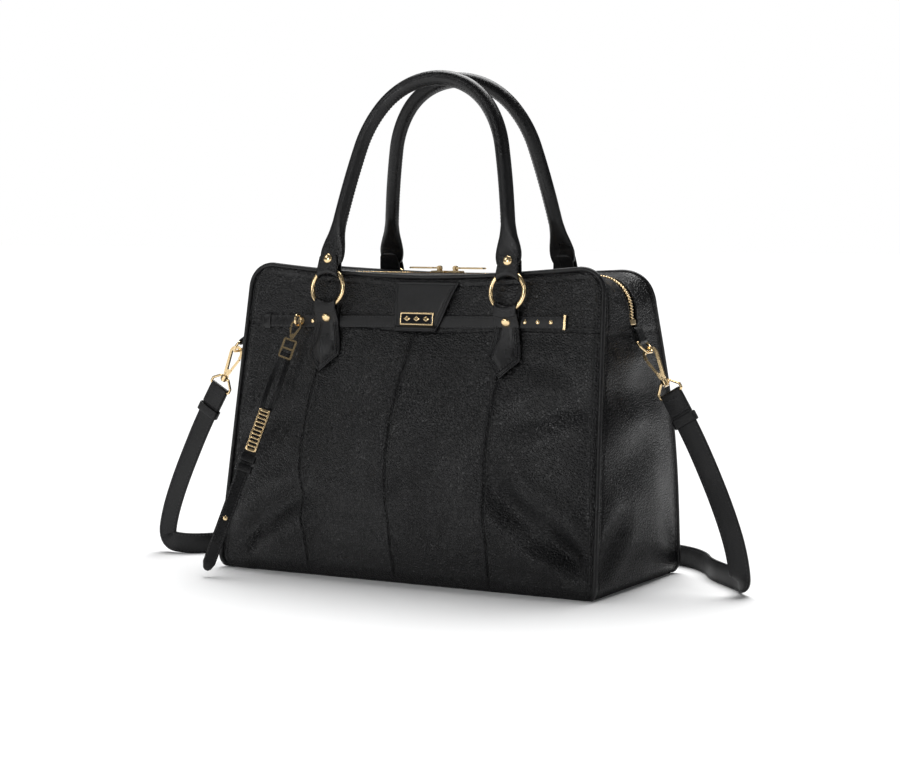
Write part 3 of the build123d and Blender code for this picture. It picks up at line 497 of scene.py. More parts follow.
def slack(x, up, size=1.0):
    """The unevenness of soft hide: a few crossed slow waves."""
    waves = (
        np.sin(x / 31.0 + 0.7 * np.sin(up / 37.0) + 0.4) * np.sin(up / 43.0 + 1.1)
        + 0.6 * np.sin(x / 17.0 - up / 29.0 + 2.0)
        + 0.35 * np.sin(x / 11.0 + up / 13.0) * np.sin(x / 57.0 - up / 23.0)
    )
    return size * 0.5 * waves


def belly(x, up, full):
    """How far a face bellies out: most at the middle, nothing at its edges or above the yoke seam."""
    share = np.clip(up / YOKE_UP, 0, 1)
    rise = np.sin(pi * share**0.95) ** 1.2
    return full * rise * np.clip(1 - np.abs(x / 193.0) ** 2.6, 0, 1)


def front_lift(x, up):
    """The front's height above its flat plane, without its seams."""
    open_part = smooth(up, 4, 40) * (1 - smooth(up, 205, 232))
    side_fade = 1 - smooth(np.abs(x), 176, 195)
    folds = (
        fold(x, up, (92, 100), (192, 18), 12, 8.0)
        + fold(x, up, (112, 52), (190, 30), 9, 3.2)
        + fold(x, up, (-96, 86), (-190, 16), 12, 6.5)
        + fold(x, up, (104, 152), (192, 172), 12, 2.2)
        + fold(x, up, (-110, 150), (-192, 118), 13, 3.2)
        + fold(x, up, (-60, 60), (52, 44), 14, 1.6)
        + fold(x, up, (112, 205), (178, 190), 9, 1.2)
    )
    soft = (folds + slack(x, up, 1.7)) * open_part * side_fade
    yoke = slack(x * 1.3 + 40, up * 1.7, 0.35) * smooth(up, 240, 250) * side_fade
    return belly(x, up, 19.5) + soft + yoke - tuck(up)


def seam_line(number, up):
    """Where a vertical seam of the front runs: it leans towards the left at half height."""
    share = np.clip(up / YOKE_UP, 0, 1)
    return SEAM_AT[number] + SEAM_DRIFT[number] * np.sin(pi * share) ** 1.3


def yoke_seam(x):
    """The slope height of the seam under the yoke, which dips under the flap."""
    return 236.0 - 4.5 * bell(x, 8.0, 60.0)


def double_seam(off):
    """A seam seen across: a narrow groove between two rolled ridges."""
    return 0.75 * (bell(off, -2.3, 1.15) + bell(off, 2.3, 1.15)) - 1.0 * bell(off, 0, 0.8)


def top_line(x, radius=EDGE_RADIUS):
    """The slope height of a face's top edge: it sags between its two corners."""
    reach = np.clip(np.abs(x) / (face_half(EDGE_TOP) - radius), 0, 1)
    return EDGE_TOP - EDGE_SAG * (1 - reach**1.7)


def bow_rear(up):
    """How far the rear edges of the gussets bow out past the straight line of the back."""
    return 15.0 * np.sin(pi * np.clip((up - 5) / BULGE_UP, 0, 1)) ** 1.2


def edge_line(step, kind):
    """The shell's outline at a step along it, for the front (-1), the middle (0) or the rear (1) of the band.
    Steps 0 to 1 climb the right side, 1 to 2 turn the corner, 2 to 4 cross the top, and so on down the left.
    It gives the distance across and the height; for the front and the rear, the height is up the slope."""
    mirror_side = np.where(step > 3, -1.0, 1.0)
    step = np.where(step > 3, 6 - step, step)
    radius, top = MID_RADIUS, MID_TOP
    if kind != 0:
        radius, top = EDGE_RADIUS + 6 * (kind > 0), EDGE_TOP - 5 * (kind > 0)
    climb = LOW + np.clip(step, 0, 1) * (top - radius - LOW)
    if kind == 0:
        sag_out = SIDE_BULGE * np.sin(pi * np.clip(climb / BULGE_UP, 0, 1) ** 0.85) ** 0.8
        wide = face_half(climb) + sag_out * (climb < BULGE_UP)
        widest = face_half(top - radius)
        widest = widest + SIDE_BULGE * np.sin(pi * ((top - radius) / BULGE_UP) ** 0.85) ** 0.8
    else:
        wide = face_half(climb)
        widest = face_half(top - radius)
    turn = np.clip(step - 1, 0, 1) * pi / 2
    power = 2 / CORNER_POWER
    across = np.where(step <= 1, wide, widest - radius + radius * np.cos(turn) ** power)
    height = np.where(step <= 1, climb, top - radius + radius * np.sin(turn) ** power)
    flat = np.clip(step - 2, 0, 1)
    across = np.where(step > 2, (widest - radius) * (1 - flat), across)
    sag = EDGE_SAG if kind < 0 else (REAR_SAG if kind > 0 else 0.0)
    height = np.where(step > 2, top - sag * (1 - (1 - flat) ** 1.7), height)
    return across * mirror_side, height


def band_place(step, across):
    """A place on the band of gussets and zip strips: across is -1 at the front edge, 0 at the zip and 1 at
    the rear. From the middle to each edge the place moves from the middle outline to the edge's by the
    square of across."""
    step, across = np.broadcast_arrays(np.asarray(step, float), np.asarray(across, float))
    front_x, front_up = edge_line(step, -1)
    mid_x, mid_z = edge_line(step, 0)
    rear_x, rear_up = edge_line(step, 1)
    front = on_face(front_x, front_up, -tuck(front_up))
    rear = on_face(rear_x, rear_up, -tuck(rear_up) + bow_rear(rear_up), 1)
    middle = np.stack([mid_x, np.zeros_like(mid_x), mid_z], -1)
    share = (np.abs(across) ** 2.0)[..., None]
    edge = np.where(across[..., None] < 0, front, rear)
    place = middle * (1 - share) + edge * share
    place[..., 1] = np.abs(across) * edge[..., 1]
    down = np.where(step > 3, 6 - step, step)
    height = place[..., 2]
    sign = np.sign(place[..., 0])
    y = place[..., 1]
    hollow = (
        fold(y, height, (-64, 188), (50, 170), 17, 4.4)
        + fold(y, height, (-84, 112), (30, 128), 20, 2.2)
        + fold(y, height, (-92, 14), (-30, 70), 12, 3.4)
        + fold(y, height, (88, 12), (40, 60), 12, 2.4)
        + slack(y * 0.7, height * 0.8, 1.8)
    )
    inner = (1 - np.abs(across) ** 6) * smooth(height, 5, 40) * (1 - smooth(height, 205, 228))
    place[..., 0] += sign * hollow * inner * (down <= 1)
    return place


# The gussets are the same hide with its shine turned down so that the sides come out darker: a shaded copy of
# the hide, painted shade for the sides that face away from the light.
pebbled = leather("pebbled_hide", 400, 0.0006, 0.30, crease=0.00005)
shaded_gusset_hide = leather("shaded_gusset_hide", 400, 0.0006, 0.30, crease=0.00005, shine=0.14)

# The front: its columns gather at the three seams and its rows at the yoke seam.
close = np.concatenate([np.linspace(0, 7, 14), np.linspace(7, 40, 12)[1:]])
span = np.concatenate([close, 93.0 - close[::-1]]) / 93.0
knots = np.concatenate([span + k for k in range(4)])
knots = np.unique(np.round(knots, 5))
rows_low = np.concatenate(
    [
        np.linspace(0, 16, 12) / 236.0, np.linspace(16, 226, 84)[1:] / 236.0,
        np.linspace(226, 236, 15)[1:] / 236.0
    ]
)
rows_high = 1 + np.concatenate(
    [np.linspace(0, 10, 13) / 54.0, np.linspace(10, 28, 10)[1:] / 54.0, np.linspace(28, 54, 24)[1:] / 54.0]
)
rows = np.unique(np.round(np.concatenate([rows_low, rows_high]), 5))
knot_grid, row_grid = np.meshgrid(knots, rows)


def face_grid(side):
    """The front or back as a grid of x and slope height: rows follow the yoke seam and the top edge, and
    columns follow the seams."""
    guess = (knot_grid - 2) / 2 * 190.0
    up = np.clip(row_grid, 0, 1) * yoke_seam(guess)
    corner_up, kind = (EDGE_TOP, -1) if side < 0 else (EDGE_TOP - 5, 1)
    radius = EDGE_RADIUS + 6 * (side > 0)
    share = np.clip(row_grid - 1, 0, 1)
    up = up + share * (corner_up - yoke_seam(guess))
    turn = np.arcsin(np.clip((up - (corner_up - radius)) / radius, 0, 1) ** (CORNER_POWER / 2))
    half = np.where(
        up > corner_up - radius,
        face_half(corner_up - radius) - radius + radius * np.cos(turn) ** (2 / CORNER_POWER),
        face_half(up),
    )
    lines = np.stack([-half, seam_line(0, up), seam_line(1, up), seam_line(2, up), half], -1)
    if side > 0:
        lines = np.stack([-half, -half / 2, 0 * half, half / 2, half], -1)
    cell = np.clip(np.floor(knot_grid).astype(int), 0, 3)
    left = np.take_along_axis(lines, cell[..., None], -1)[..., 0]
    right = np.take_along_axis(lines, cell[..., None] + 1, -1)[..., 0]
    x = left + (right - left) * (knot_grid - cell)
    sag = EDGE_SAG if side < 0 else REAR_SAG
    reach = np.clip(np.abs(x) / (face_half(corner_up) - radius), 0, 1)
    up = up - share**2 * sag * (1 - reach**1.7)
    return x, np.maximum(up, LOW), half


front_x, front_up, front_half = face_grid(-1)
lift = front_lift(front_x, front_up)
for number in range(3):
    fades = (1 - smooth(front_up, 222, 231)) * smooth(front_up, 2, 12)
    lift = lift + double_seam(front_x - seam_line(number, front_up)) * fades
above = front_up - yoke_seam(front_x)
lift = lift + 0.6 * smooth(above, -0.4, 0.6) - 0.9 * bell(above, -0.9, 0.9) + 0.5 * bell(above, 2.2, 1.0)
lift = lift - 0.6 * smooth(above, 18, 46)
rim = np.minimum(front_half - np.abs(front_x), top_line(front_x) - front_up)
lift = lift + 0.8 * bell(rim, 5.6, 1.5) - 0.7 * bell(rim, 8.2, 1.3) - 1.6 * bell(rim, 0, 1.6)
front_skin = sheet_piece("front_panels", on_face(front_x, front_up, lift), pebbled, BAG_MIDDLE)
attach(front_skin, "bag")
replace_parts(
    front_skin,
    "front_panel_far_left",
    "front_panel_left",
    "front_panel_right",
    "front_panel_far_right",
    "front_yoke",
)

back_x, back_up, _ = face_grid(1)
lift = (
    belly(back_x, back_up, 9.0)
    + slack(back_x + 25, back_up, 1.6) * smooth(back_up, 4, 40) * (1 - smooth(np.abs(back_x), 176, 195))
)
lift = lift + fold(back_x, back_up, (-110, 90), (-190, 16), 11, 3.6)
lift = lift + fold(back_x, back_up, (110, 84), (190, 18), 11, 3.8)
lift = lift * (1 - smooth(back_up, 262, 290)) + bow_rear(back_up) - tuck(back_up)
above = back_up - yoke_seam(back_x)
lift = lift + 1.5 * smooth(above, -0.4, 0.6) - 0.9 * bell(above, -0.9, 0.9) - 1.5 * smooth(above, 18, 46)
lift = lift + double_seam(back_x) * (1 - smooth(back_up, 222, 231)) * smooth(back_up, 2, 12)
back_skin = sheet_piece("back_panels", on_face(back_x, back_up, lift, 1), pebbled, BAG_MIDDLE)
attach(back_skin, "bag")
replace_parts(back_skin, "back_panel", "back_yoke")

# The band: gussets up both sides and the two strips beside the zip. Its slot closes to nothing below the zip.
right_steps = np.concatenate(
    [
        np.linspace(0, 0.06, 10), np.linspace(0.06, 1, 90)[1:], np.linspace(1, 2, 26)[1:],
        np.linspace(2, 3, 60)[1:]
    ]
)
steps = np.concatenate([right_steps, (6 - right_steps[:-1])[::-1]])
mid_height = edge_line(steps, 0)[1]
slot_half = SLOT_HALF * np.sqrt(smooth(mid_height, ZIP_LOW - 5, ZIP_LOW + 3))
columns = np.linspace(0, 1, 44) ** 0.9
halves = []
for side in (-1, 1):
    edge_y = np.abs(band_place(steps, np.full_like(steps, float(side)))[:, 1])
    inner = slot_half / edge_y
    across = side * (inner[:, None] + (1 - inner[:, None]) * columns[None])
    place = band_place(steps[:, None], across)
    off_edge = (1 - np.abs(across)) * edge_y[:, None]
    off_slot = np.abs(across) * edge_y[:, None] - slot_half[:, None]
    on_top = ((steps > 1.0) & (steps < 5.0))[:, None, None] * np.array([0, 0, 60.0])
    outward = unit(place * (1, 0, 0) + on_top)
    roll = 0.5 * bell(off_slot, 1.6, 1.5) * (slot_half[:, None] > 1)
    roll = roll - 0.8 * bell(off_edge, 6.5, 1.2) + 0.6 * bell(off_edge, 4.2, 1.2)
    level = place[..., 2] - 231.0
    seam = (0.9 * smooth(level, -0.6, 1.0) - 0.9 * bell(level, -1.4, 1.0)) * (1 - smooth(level, 14, 40))
    place = place + outward * (roll + seam)[..., None]
    halves.append(place if side < 0 else place[:, ::-1])
half_faces = np.array(grid_faces(len(steps), 44))
band_points = np.concatenate([half.reshape(-1, 3) for half in halves])
band_faces = np.concatenate([half_faces[:, ::-1], half_faces[:, ::-1] + len(steps) * 44]).tolist()
# The band takes the shaded copy of the hide: its lower shine is painted shade on the sides of the bag.
band = mesh_piece("gusset_band", band_points, band_faces, shaded_gusset_hide, merged=True, inside=BAG_MIDDLE)
wall = band.modifiers.new("hide", "SOLIDIFY")
wall.thickness = HIDE / 1000
wall.offset = -1.0
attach(band, "bag")
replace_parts(band, "top_gusset_front", "top_gusset_rear", "gusset_left", "gusset_right")

# The base: one piece of hide, sewn to the foot of the shell all round.
base_u, base_v = np.meshgrid(np.linspace(-1, 1, 61), np.linspace(-1, 1, 41))
base_points = np.stack([base_u * 191.6, base_v * 85.6, 0.35 + 0.3 * (1 - np.abs(base_u * base_v))], -1)
base = sheet_piece("base_hide", base_points, pebbled, BAG_MIDDLE)
wall = base.modifiers.new("hide", "SOLIDIFY")
wall.thickness = HIDE / 1000
wall.offset = -1.0
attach(base, "bag")
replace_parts(base, "base_panel")

# ---- piping --------------------------------------------------------------------------------------
# A cord in a strip of smooth hide, sewn into the seam all round the front and the back.
PIPING = 2.1
piping_hide = leather("piping_hide", 800, 0.00010, 0.30)
pipes = []
for name, kind in (("front_piping", -1), ("rear_piping", 1)):
    edge_x, edge_up = edge_line(steps, kind)
    extra = bow_rear(edge_up) if kind > 0 else 0.0
    path = on_face(edge_x, edge_up, -tuck(edge_up) + extra + 0.2, kind)
    foot_x = np.linspace(path[-1, 0], path[0, 0], 60)[1:-1]
    foot = np.stack([foot_x, np.full(58, path[0, 1]), np.full(58, path[0, 2])], -1)
    path = np.concatenate([path, foot])
    path[:, 2] = np.maximum(path[:, 2], 2.6)
    cord = swept(name, path, (0, 1, 0), circle(PIPING, 12), piping_hide, loop=True)
    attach(cord, "bag")
    pipes.append(cord)
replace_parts(pipes[0], "piping")

# ---- metal fittings ------------------------------------------------------------------------------
# Cast zinc with a pale polished gold plating: rings, hooks, gates, loops, sliders and studs.
gold, gold_shader, add, link = nodes_of("pale_gold")
place = add("ShaderNodeTexCoord").outputs["Object"]
cloud = add("ShaderNodeTexNoise", [("Vector", place), ("Scale", 90.0), ("Detail", 3.0)])
wipe = add("ShaderNodeTexNoise", [("Vector", place), ("Scale", 700.0), ("Detail", 2.0), ("Distortion", 1.2)])
gold_gloss = add("ShaderNodeMapRange", [("Value", cloud.outputs["Fac"]), ("To Min", 0.13), ("To Max", 0.27)])
link(gold_gloss.outputs["Result"], gold_shader.inputs["Roughness"])
link(
    add("ShaderNodeBump", [("Height", wipe.outputs["Fac"]), ("Distance", 0.00002)]).outputs[0],
    gold_shader.inputs["Normal"]
)
gold_tone = add("ShaderNodeMix", [("Factor", cloud.outputs["Fac"])], data_type="RGBA")
gold_tone.inputs["A"].default_value = (0.80, 0.58, 0.30, 1)
gold_tone.inputs["B"].default_value = (0.90, 0.70, 0.42, 1)
link(gold_tone.outputs["Result"], gold_shader.inputs["Base Color"])
gold_shader.inputs["Metallic"].default_value = 1.0
METAL_NODES = (
    "belt_tip charm_ring front_rings rear_rings zip_slider_left zip_slider_right zip_pull_left "
    "zip_pull_right d_ring_left d_ring_right swivel_loops snap_hook_left snap_hook_right "
    "hook_gate_left hook_gate_right charm_clasp charm_gate charm_buckle"
).split()


def finish_node(name, material):
    """Gives every slot of a carried-over part the same finish."""
    mesh = nodes[name].data
    for number in range(len(mesh.materials)):
        mesh.materials[number] = material


for name in METAL_NODES:
    finish_node(name, gold)


def domes(name, places, outs, radius, height, material):
    """Rivet heads: each a low dome on a short upright rim, closed underneath, standing on its place."""
    turn = np.linspace(0, 2 * pi, 28, endpoint=False)
    rise = np.linspace(0, pi / 2, 7)
    reach = np.concatenate([[0.0, 1.0], np.cos(rise[:-1]), [0.0]]) * radius
    level = np.concatenate([[-0.6, -0.6], 0.3 + np.sin(rise[:-1]) * (height - 0.3), [height]])
    points, faces = [], []
    for number, (spot, out) in enumerate(zip(np.asarray(places, float), np.asarray(outs, float))):
        out = out / np.linalg.norm(out)
        side = np.cross(out, (0.3, 0.1, 1.0))
        side = side / np.linalg.norm(side)
        up = np.cross(out, side)
        ring = np.cos(turn)[:, None] * side + np.sin(turn)[:, None] * up
        points.append((spot + reach[:, None, None] * ring[None] + level[:, None, None] * out).reshape(-1, 3))
        rows = len(reach)
        faces += (np.array(grid_faces(rows, 28, around=True)) + number * rows * 28).tolist()
    return mesh_piece(name, np.concatenate(points), faces, material, closed=True)


# ---- zip -----------------------------------------------------------------------------------------
# A brass chain on two woven black tapes under the slot of the top, which ends on a wide stop each side.
TOOTH_PITCH = 2.7
twill, twill_shader, add, link = nodes_of("zip_tape_twill")
place = add("ShaderNodeTexCoord").outputs["Object"]
rib = add(
    "ShaderNodeTexWave", [("Vector", place), ("Scale", 420.0), ("Distortion", 0.6)],
    bands_direction="DIAGONAL"
)
link(
    add("ShaderNodeBump", [("Height", rib.outputs["Fac"]), ("Distance", 0.00025)]).outputs[0],
    twill_shader.inputs["Normal"]
)
twill_tone = add("ShaderNodeMix", [("Factor", rib.outputs["Fac"])], data_type="RGBA")
twill_tone.inputs["A"].default_value = (0.004, 0.004, 0.004, 1)
twill_tone.inputs["B"].default_value = (0.016, 0.016, 0.017, 1)
link(twill_tone.outputs["Result"], twill_shader.inputs["Base Color"])
twill_shader.inputs["Roughness"].default_value = 0.8
zip_steps = steps[mid_height > ZIP_LOW]
zip_x, zip_z = edge_line(zip_steps, 0)
zip_line = np.stack([zip_x, np.zeros_like(zip_x), zip_z], -1)
ahead = unit(np.gradient(zip_line, axis=0))
zip_out = np.cross(np.array([0.0, 1.0, 0.0]), ahead)
zip_out = zip_out * np.sign((zip_out * (zip_line - BAG_MIDDLE)).sum(-1, keepdims=True))
for name, side in (("zip_tape_front", -1), ("zip_tape_rear", 1)):
    reach = np.array([1.4, 3.0, 3.4, 5.0, 8.0, 11.0]) * side
    height = np.array([-2.4, -2.4, -2.9, -2.9, -3.1, -3.3])
    points = zip_line[:, None] + reach[None, :, None] * np.array([0, 1.0, 0])
    points = points + height[None, :, None] * zip_out[:, None]
    tape = sheet_piece(name, points, twill, BAG_MIDDLE)
    wall = tape.modifiers.new("weave", "SOLIDIFY")
    wall.thickness = 0.0007
    wall.offset = -1.0
    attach(tape, "bag")
    if side < 0:
        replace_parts(tape, "zip_tapes")

tooth = round_bar(4.4, 2.1, 0.5, 2)
tooth = np.stack([np.stack([np.full(8, x), tooth[:, 0], tooth[:, 1]], -1) for x in (-0.85, 0.85)])
spots, share = spaced(zip_line - zip_out * 0.3, TOOTH_PITCH / 2)
run = np.concatenate([[0], np.cumsum(np.linalg.norm(np.diff(zip_line, axis=0), axis=1))])
track = run / run[-1]
tooth_ahead = unit(np.stack([np.interp(share, track, ahead[:, k]) for k in range(3)], -1))
tooth_out = unit(np.stack([np.interp(share, track, zip_out[:, k]) for k in range(3)], -1))
stagger = np.where(np.arange(len(spots)) % 2 == 0, 0.95, -0.95)[:, None, None, None] * np.array([0, 1.0, 0])
points = (
    spots[:, None, None]
    + stagger
    + tooth[None, ..., :1] * 0.72 * tooth_ahead[:, None, None]
    + tooth[None, ..., 1:2] * np.array([0, 1.0, 0])
    + tooth[None, ..., 2:] * tooth_out[:, None, None]
)
tooth_faces = np.array(grid_faces(2, 8, around=True))
starts = np.arange(len(spots))[:, None] * 16
faces = (tooth_faces[None] + starts[:, None]).reshape(-1, 4).tolist()
faces += (starts + np.arange(8)[::-1]).tolist() + (starts + 8 + np.arange(8)).tolist()
teeth = mesh_piece("zip_chain", points, faces, gold, closed=True)
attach(teeth, "bag")
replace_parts(teeth, "zip_teeth")
stops = []
for name, end in (("zip_stop_right", 0), ("zip_stop_left", -1)):
    spot, out, run_to = zip_line[end], zip_out[end], ahead[end] * (1 if end else -1)
    path = spot + np.linspace(-2.4, 2.4, 7)[:, None] * run_to + out * (-0.2)
    stop = swept(name, path, (0, 1, 0), round_bar(11.0, 2.4, 0.9), gold)
    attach(stop, "bag")
    stops.append(stop)
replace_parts(stops[0], "zip_end_stops")
slot_lines = []
for side in (-1, 1):
    edge_y = np.abs(band_place(zip_steps, np.full_like(zip_steps, float(side)))[:, 1])
    away = side * (SLOT_HALF + 2.6) / edge_y
    slot_lines.append((band_place(zip_steps, away) + zip_out * 0.15, zip_out))
slot_sewing = stitches("zip_stitching", slot_lines, thread)
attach(slot_sewing, "bag")

# ---- belt, flap and nameplate --------------------------------------------------------------------
# A thin belt of smooth hide runs across the yoke through the tabs and under a short flap, which carries a
# small gilt plate with a dark enamel field.
BELT_LOW_LIFT, BELT_THICK = 0.5, 2.0
trim_hide = leather("trim_hide", 1000, 0.00008, 0.30)


def slab(name, outline, lift, thick, bevel, material, relief=None, side=-1, shift=0.0, rows=70, columns=40):
    """A flat piece cut to an outline (left and right chains of x and height, from low to high) and laid on a
    face. Its top is rounded down by the bevel at the edge and carries a relief that is a function of the
    distance to the edge."""
    left, right = (np.array(chain, float) for chain in outline)
    low, high = max(left[0, 1], right[0, 1]), min(left[-1, 1], right[-1, 1])
    ease = (1 - np.cos(np.linspace(0, pi, rows))) / 2
    up = (low + (high - low) * ease)[:, None]
    ease = (1 - np.cos(np.linspace(0, pi, columns))) / 2
    from_x = np.interp(up, left[:, 1], left[:, 0])
    to_x = np.interp(up, right[:, 1], right[:, 0])
    x = from_x + (to_x - from_x) * ease[None]
    up = np.broadcast_to(up, x.shape)
    ring = np.concatenate([left, right[::-1]])
    start, end = ring, np.roll(ring, -1, 0)
    spot = np.stack([x, up], -1)[..., None, :]
    line = (end - start)[None, None]
    size = np.maximum((line**2).sum(-1), 1e-9)
    share = np.clip(((spot - start) * line).sum(-1) / size, 0, 1)
    edge = np.linalg.norm(spot - (start + share[..., None] * line), axis=-1).min(-1)
    inner = np.clip(bevel - edge, 0, bevel)
    top = thick - bevel + np.sqrt(np.maximum(bevel**2 - inner**2, 0))
    if relief is not None:
        top = top + relief(x, up, edge)
    under = lift(x, up)
    x = x + shift
    outer = on_face(x, up, under + top, side)
    lower = on_face(x, up, under, side)
    count = rows * columns
    faces = grid_faces(rows, columns)
    flip = [[count + v for v in f[::-1]] for f in faces]
    rim_index = np.concatenate(
        [
            np.arange(columns), np.arange(1, rows) * columns + columns - 1,
            np.arange(columns - 2, -1, -1) + (rows - 1) * columns, np.arange(rows - 2, 0, -1) * columns
        ]
    )
    after = np.roll(rim_index, -1)
    walls = np.stack([rim_index, rim_index + count, after + count, after], -1).tolist()
    return mesh_piece(
        name, np.concatenate([outer.reshape(-1, 3), lower.reshape(-1, 3)]), faces + flip + walls, material,
        closed=True
    )


def belt_line(x):
    """Slope height of the belt's middle."""
    return 240.0 + (x + 9.0) * 0.0192


belt_x = np.linspace(-171, 153, 200)
belt_mid = on_face(belt_x, belt_line(belt_x), BELT_LOW_LIFT + BELT_THICK / 2)
belt = swept("belt", belt_mid, (0, -np.cos(TILT), np.sin(TILT)), round_bar(BELT_THICK, 11.5, 0.8), trim_hide)
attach(belt, "bag")
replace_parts(belt, "belt_strap")
face_out = np.array([0, -np.cos(TILT), np.sin(TILT)])
belt_rows = []
for part in ((-168, -122), (-118, -110), (-80, -30), (46, 80), (110, 149)):
    for off in (-4.3, 4.3):
        row_x = np.linspace(*part, 20)
        belt_rows.append(
            (on_face(row_x, belt_line(row_x) + off, BELT_LOW_LIFT + BELT_THICK + 0.02), face_out)
        )
belt_sewing = stitches("belt_stitching", belt_rows, thread, 3.2, 2.2, 0.36)
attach(belt_sewing, "bag")
stud_x = np.array([112.0, 125.0, -112.0, 138.0])
studs = domes(
    "belt_stud_heads", on_face(stud_x, belt_line(stud_x), BELT_LOW_LIFT + BELT_THICK), [face_out] * 4, 2.0,
    1.3, gold
)
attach(studs, "bag")
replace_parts(studs, "belt_studs")
keeper_x = -163.0
across_belt = np.linspace(-7.2, 7.2, 13)
path = on_face(
    keeper_x + 0 * across_belt, belt_line(keeper_x) + across_belt,
    BELT_LOW_LIFT + BELT_THICK + 0.4 - 0.03 * across_belt**2
)
keeper = swept("belt_loop", path, (1, 0, 0), round_bar(7.0, 1.6, 0.6), trim_hide)
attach(keeper, "bag")
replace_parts(keeper, "belt_keeper")

FLAP = (((-21, 230.5), (-24, 277)), ((23, 230.5), (42, 277)))
FLAP_THICK = 2.6


def flap_relief(x, up, edge):
    """Sewn borders: two grooves beside the slanting edge and one round the rest, and a thick lower lip."""
    slant = (23 + (up - 230.5) * 0.4086 - x) * 0.926
    grooves = -0.5 * bell(slant, 2.4, 0.5) - 0.5 * bell(slant, 5.0, 0.5) - 0.35 * bell(edge, 2.4, 0.5)
    lip = 1.4 * (1 - smooth(up, 233.5, 236.5)) * smooth(edge, -0.2, 0.8)
    return grooves + lip - 0.9 * smooth(up, 262, 277)


flap = slab(
    "flap_leather", FLAP, lambda x, up: 2.4 - 1.8 * smooth(up, 256, 277), FLAP_THICK, 1.0, trim_hide,
    flap_relief, rows=90, columns=90
)
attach(flap, "bag")
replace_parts(flap, "flap")
PLATE = (-15.0, 20.0, 236.6, 248.2)
plate_low = 2.4 + FLAP_THICK - 0.1
enamel, enamel_shader, add, link = nodes_of("black_enamel")
speck = add("ShaderNodeTexNoise", [("Vector", add("ShaderNodeTexCoord").outputs["Object"]), ("Scale", 900.0)])
gloss = add("ShaderNodeMapRange", [("Value", speck.outputs["Fac"]), ("To Min", 0.1), ("To Max", 0.22)])
link(gloss.outputs["Result"], enamel_shader.inputs["Roughness"])
enamel_shader.inputs["Base Color"].default_value = (0.006, 0.006, 0.007, 1)
plate_outline = (((PLATE[0], PLATE[2]), (PLATE[0], PLATE[3])), ((PLATE[1], PLATE[2]), (PLATE[1], PLATE[3])))
plate = slab(
    "gilt_plate", plate_outline, lambda x, up: plate_low + 0 * x, 1.5, 0.5, gold,
    lambda x, up, edge: -0.7 * smooth(edge, 1.1, 1.4), rows=40, columns=60
)
field_outline = tuple(
    tuple((x + s * 1.3, z + u) for (x, z), u in zip(chain, (1.3, -1.3)))
    for chain, s in zip(plate_outline, (1, -1))
)
field = slab(
    "enamel_field", field_outline, lambda x, up: plate_low + 0.2 + 0 * x, 0.85, 0.1, enamel, rows=8,
    columns=16
)
motif_x = np.linspace(PLATE[0] + 7.5, PLATE[1] - 7.5, 3)
gems = []
for number, x in enumerate(motif_x):
    tall, wide = 2.4, 3.6
    middle = (PLATE[2] + PLATE[3]) / 2
    outline = (
        ((x, middle - tall), (x - wide, middle), (x, middle + tall)),
        ((x, middle - tall), (x + wide, middle), (x, middle + tall))
    )
    gems.append(
        slab(
            f"plate_lozenge_{number}", outline, lambda x, up: plate_low + 0.9 + 0 * x, 0.6, 0.25, gold,
            rows=9, columns=7
        )
    )
for piece in (plate, field, *gems):
    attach(piece, "bag")
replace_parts(plate, "nameplate")

# ---- handle tabs ---------------------------------------------------------------------------------
# Four pointed tabs of doubled smooth hide, sewn round their border and riveted. The top of each folds over
# the foot of a ring and comes back down behind it.
TAB_X, TAB_THICK = 95.0, 2.7
RING_RADIUS, RING_FOOT, STANDOFF = 16.9, 252.1, 7.5
TAB_CHAIN = ((0, 190), (17.6, 207.5), (16.6, 214), (12.4, 236), (12.0, 249))
tab_hide = leather("tab_hide", 900, 0.00010, 0.27)


def tab_under(x, up):
    """A tab's lower face: it lies on the front's belly and lifts away towards the ring."""
    on_belly = np.maximum(front_lift(x + TAB_X, up), 0.0) * (1 - smooth(up, 196, 226))
    return 2.1 + on_belly + 6.6 * smooth(up, 236, 251)


def tab_relief(x, up, edge):
    """A rolled border inside the rim and a raised middle."""
    low = 1 - smooth(up, 236, 244)
    return (
        0.55 * bell(edge, 3.6, 0.8) - 0.5 * bell(edge, 2.0, 0.5) - 0.45 * bell(edge, 5.2, 0.6)
        + 0.5 * smooth(edge, 6, 9)
    ) * low


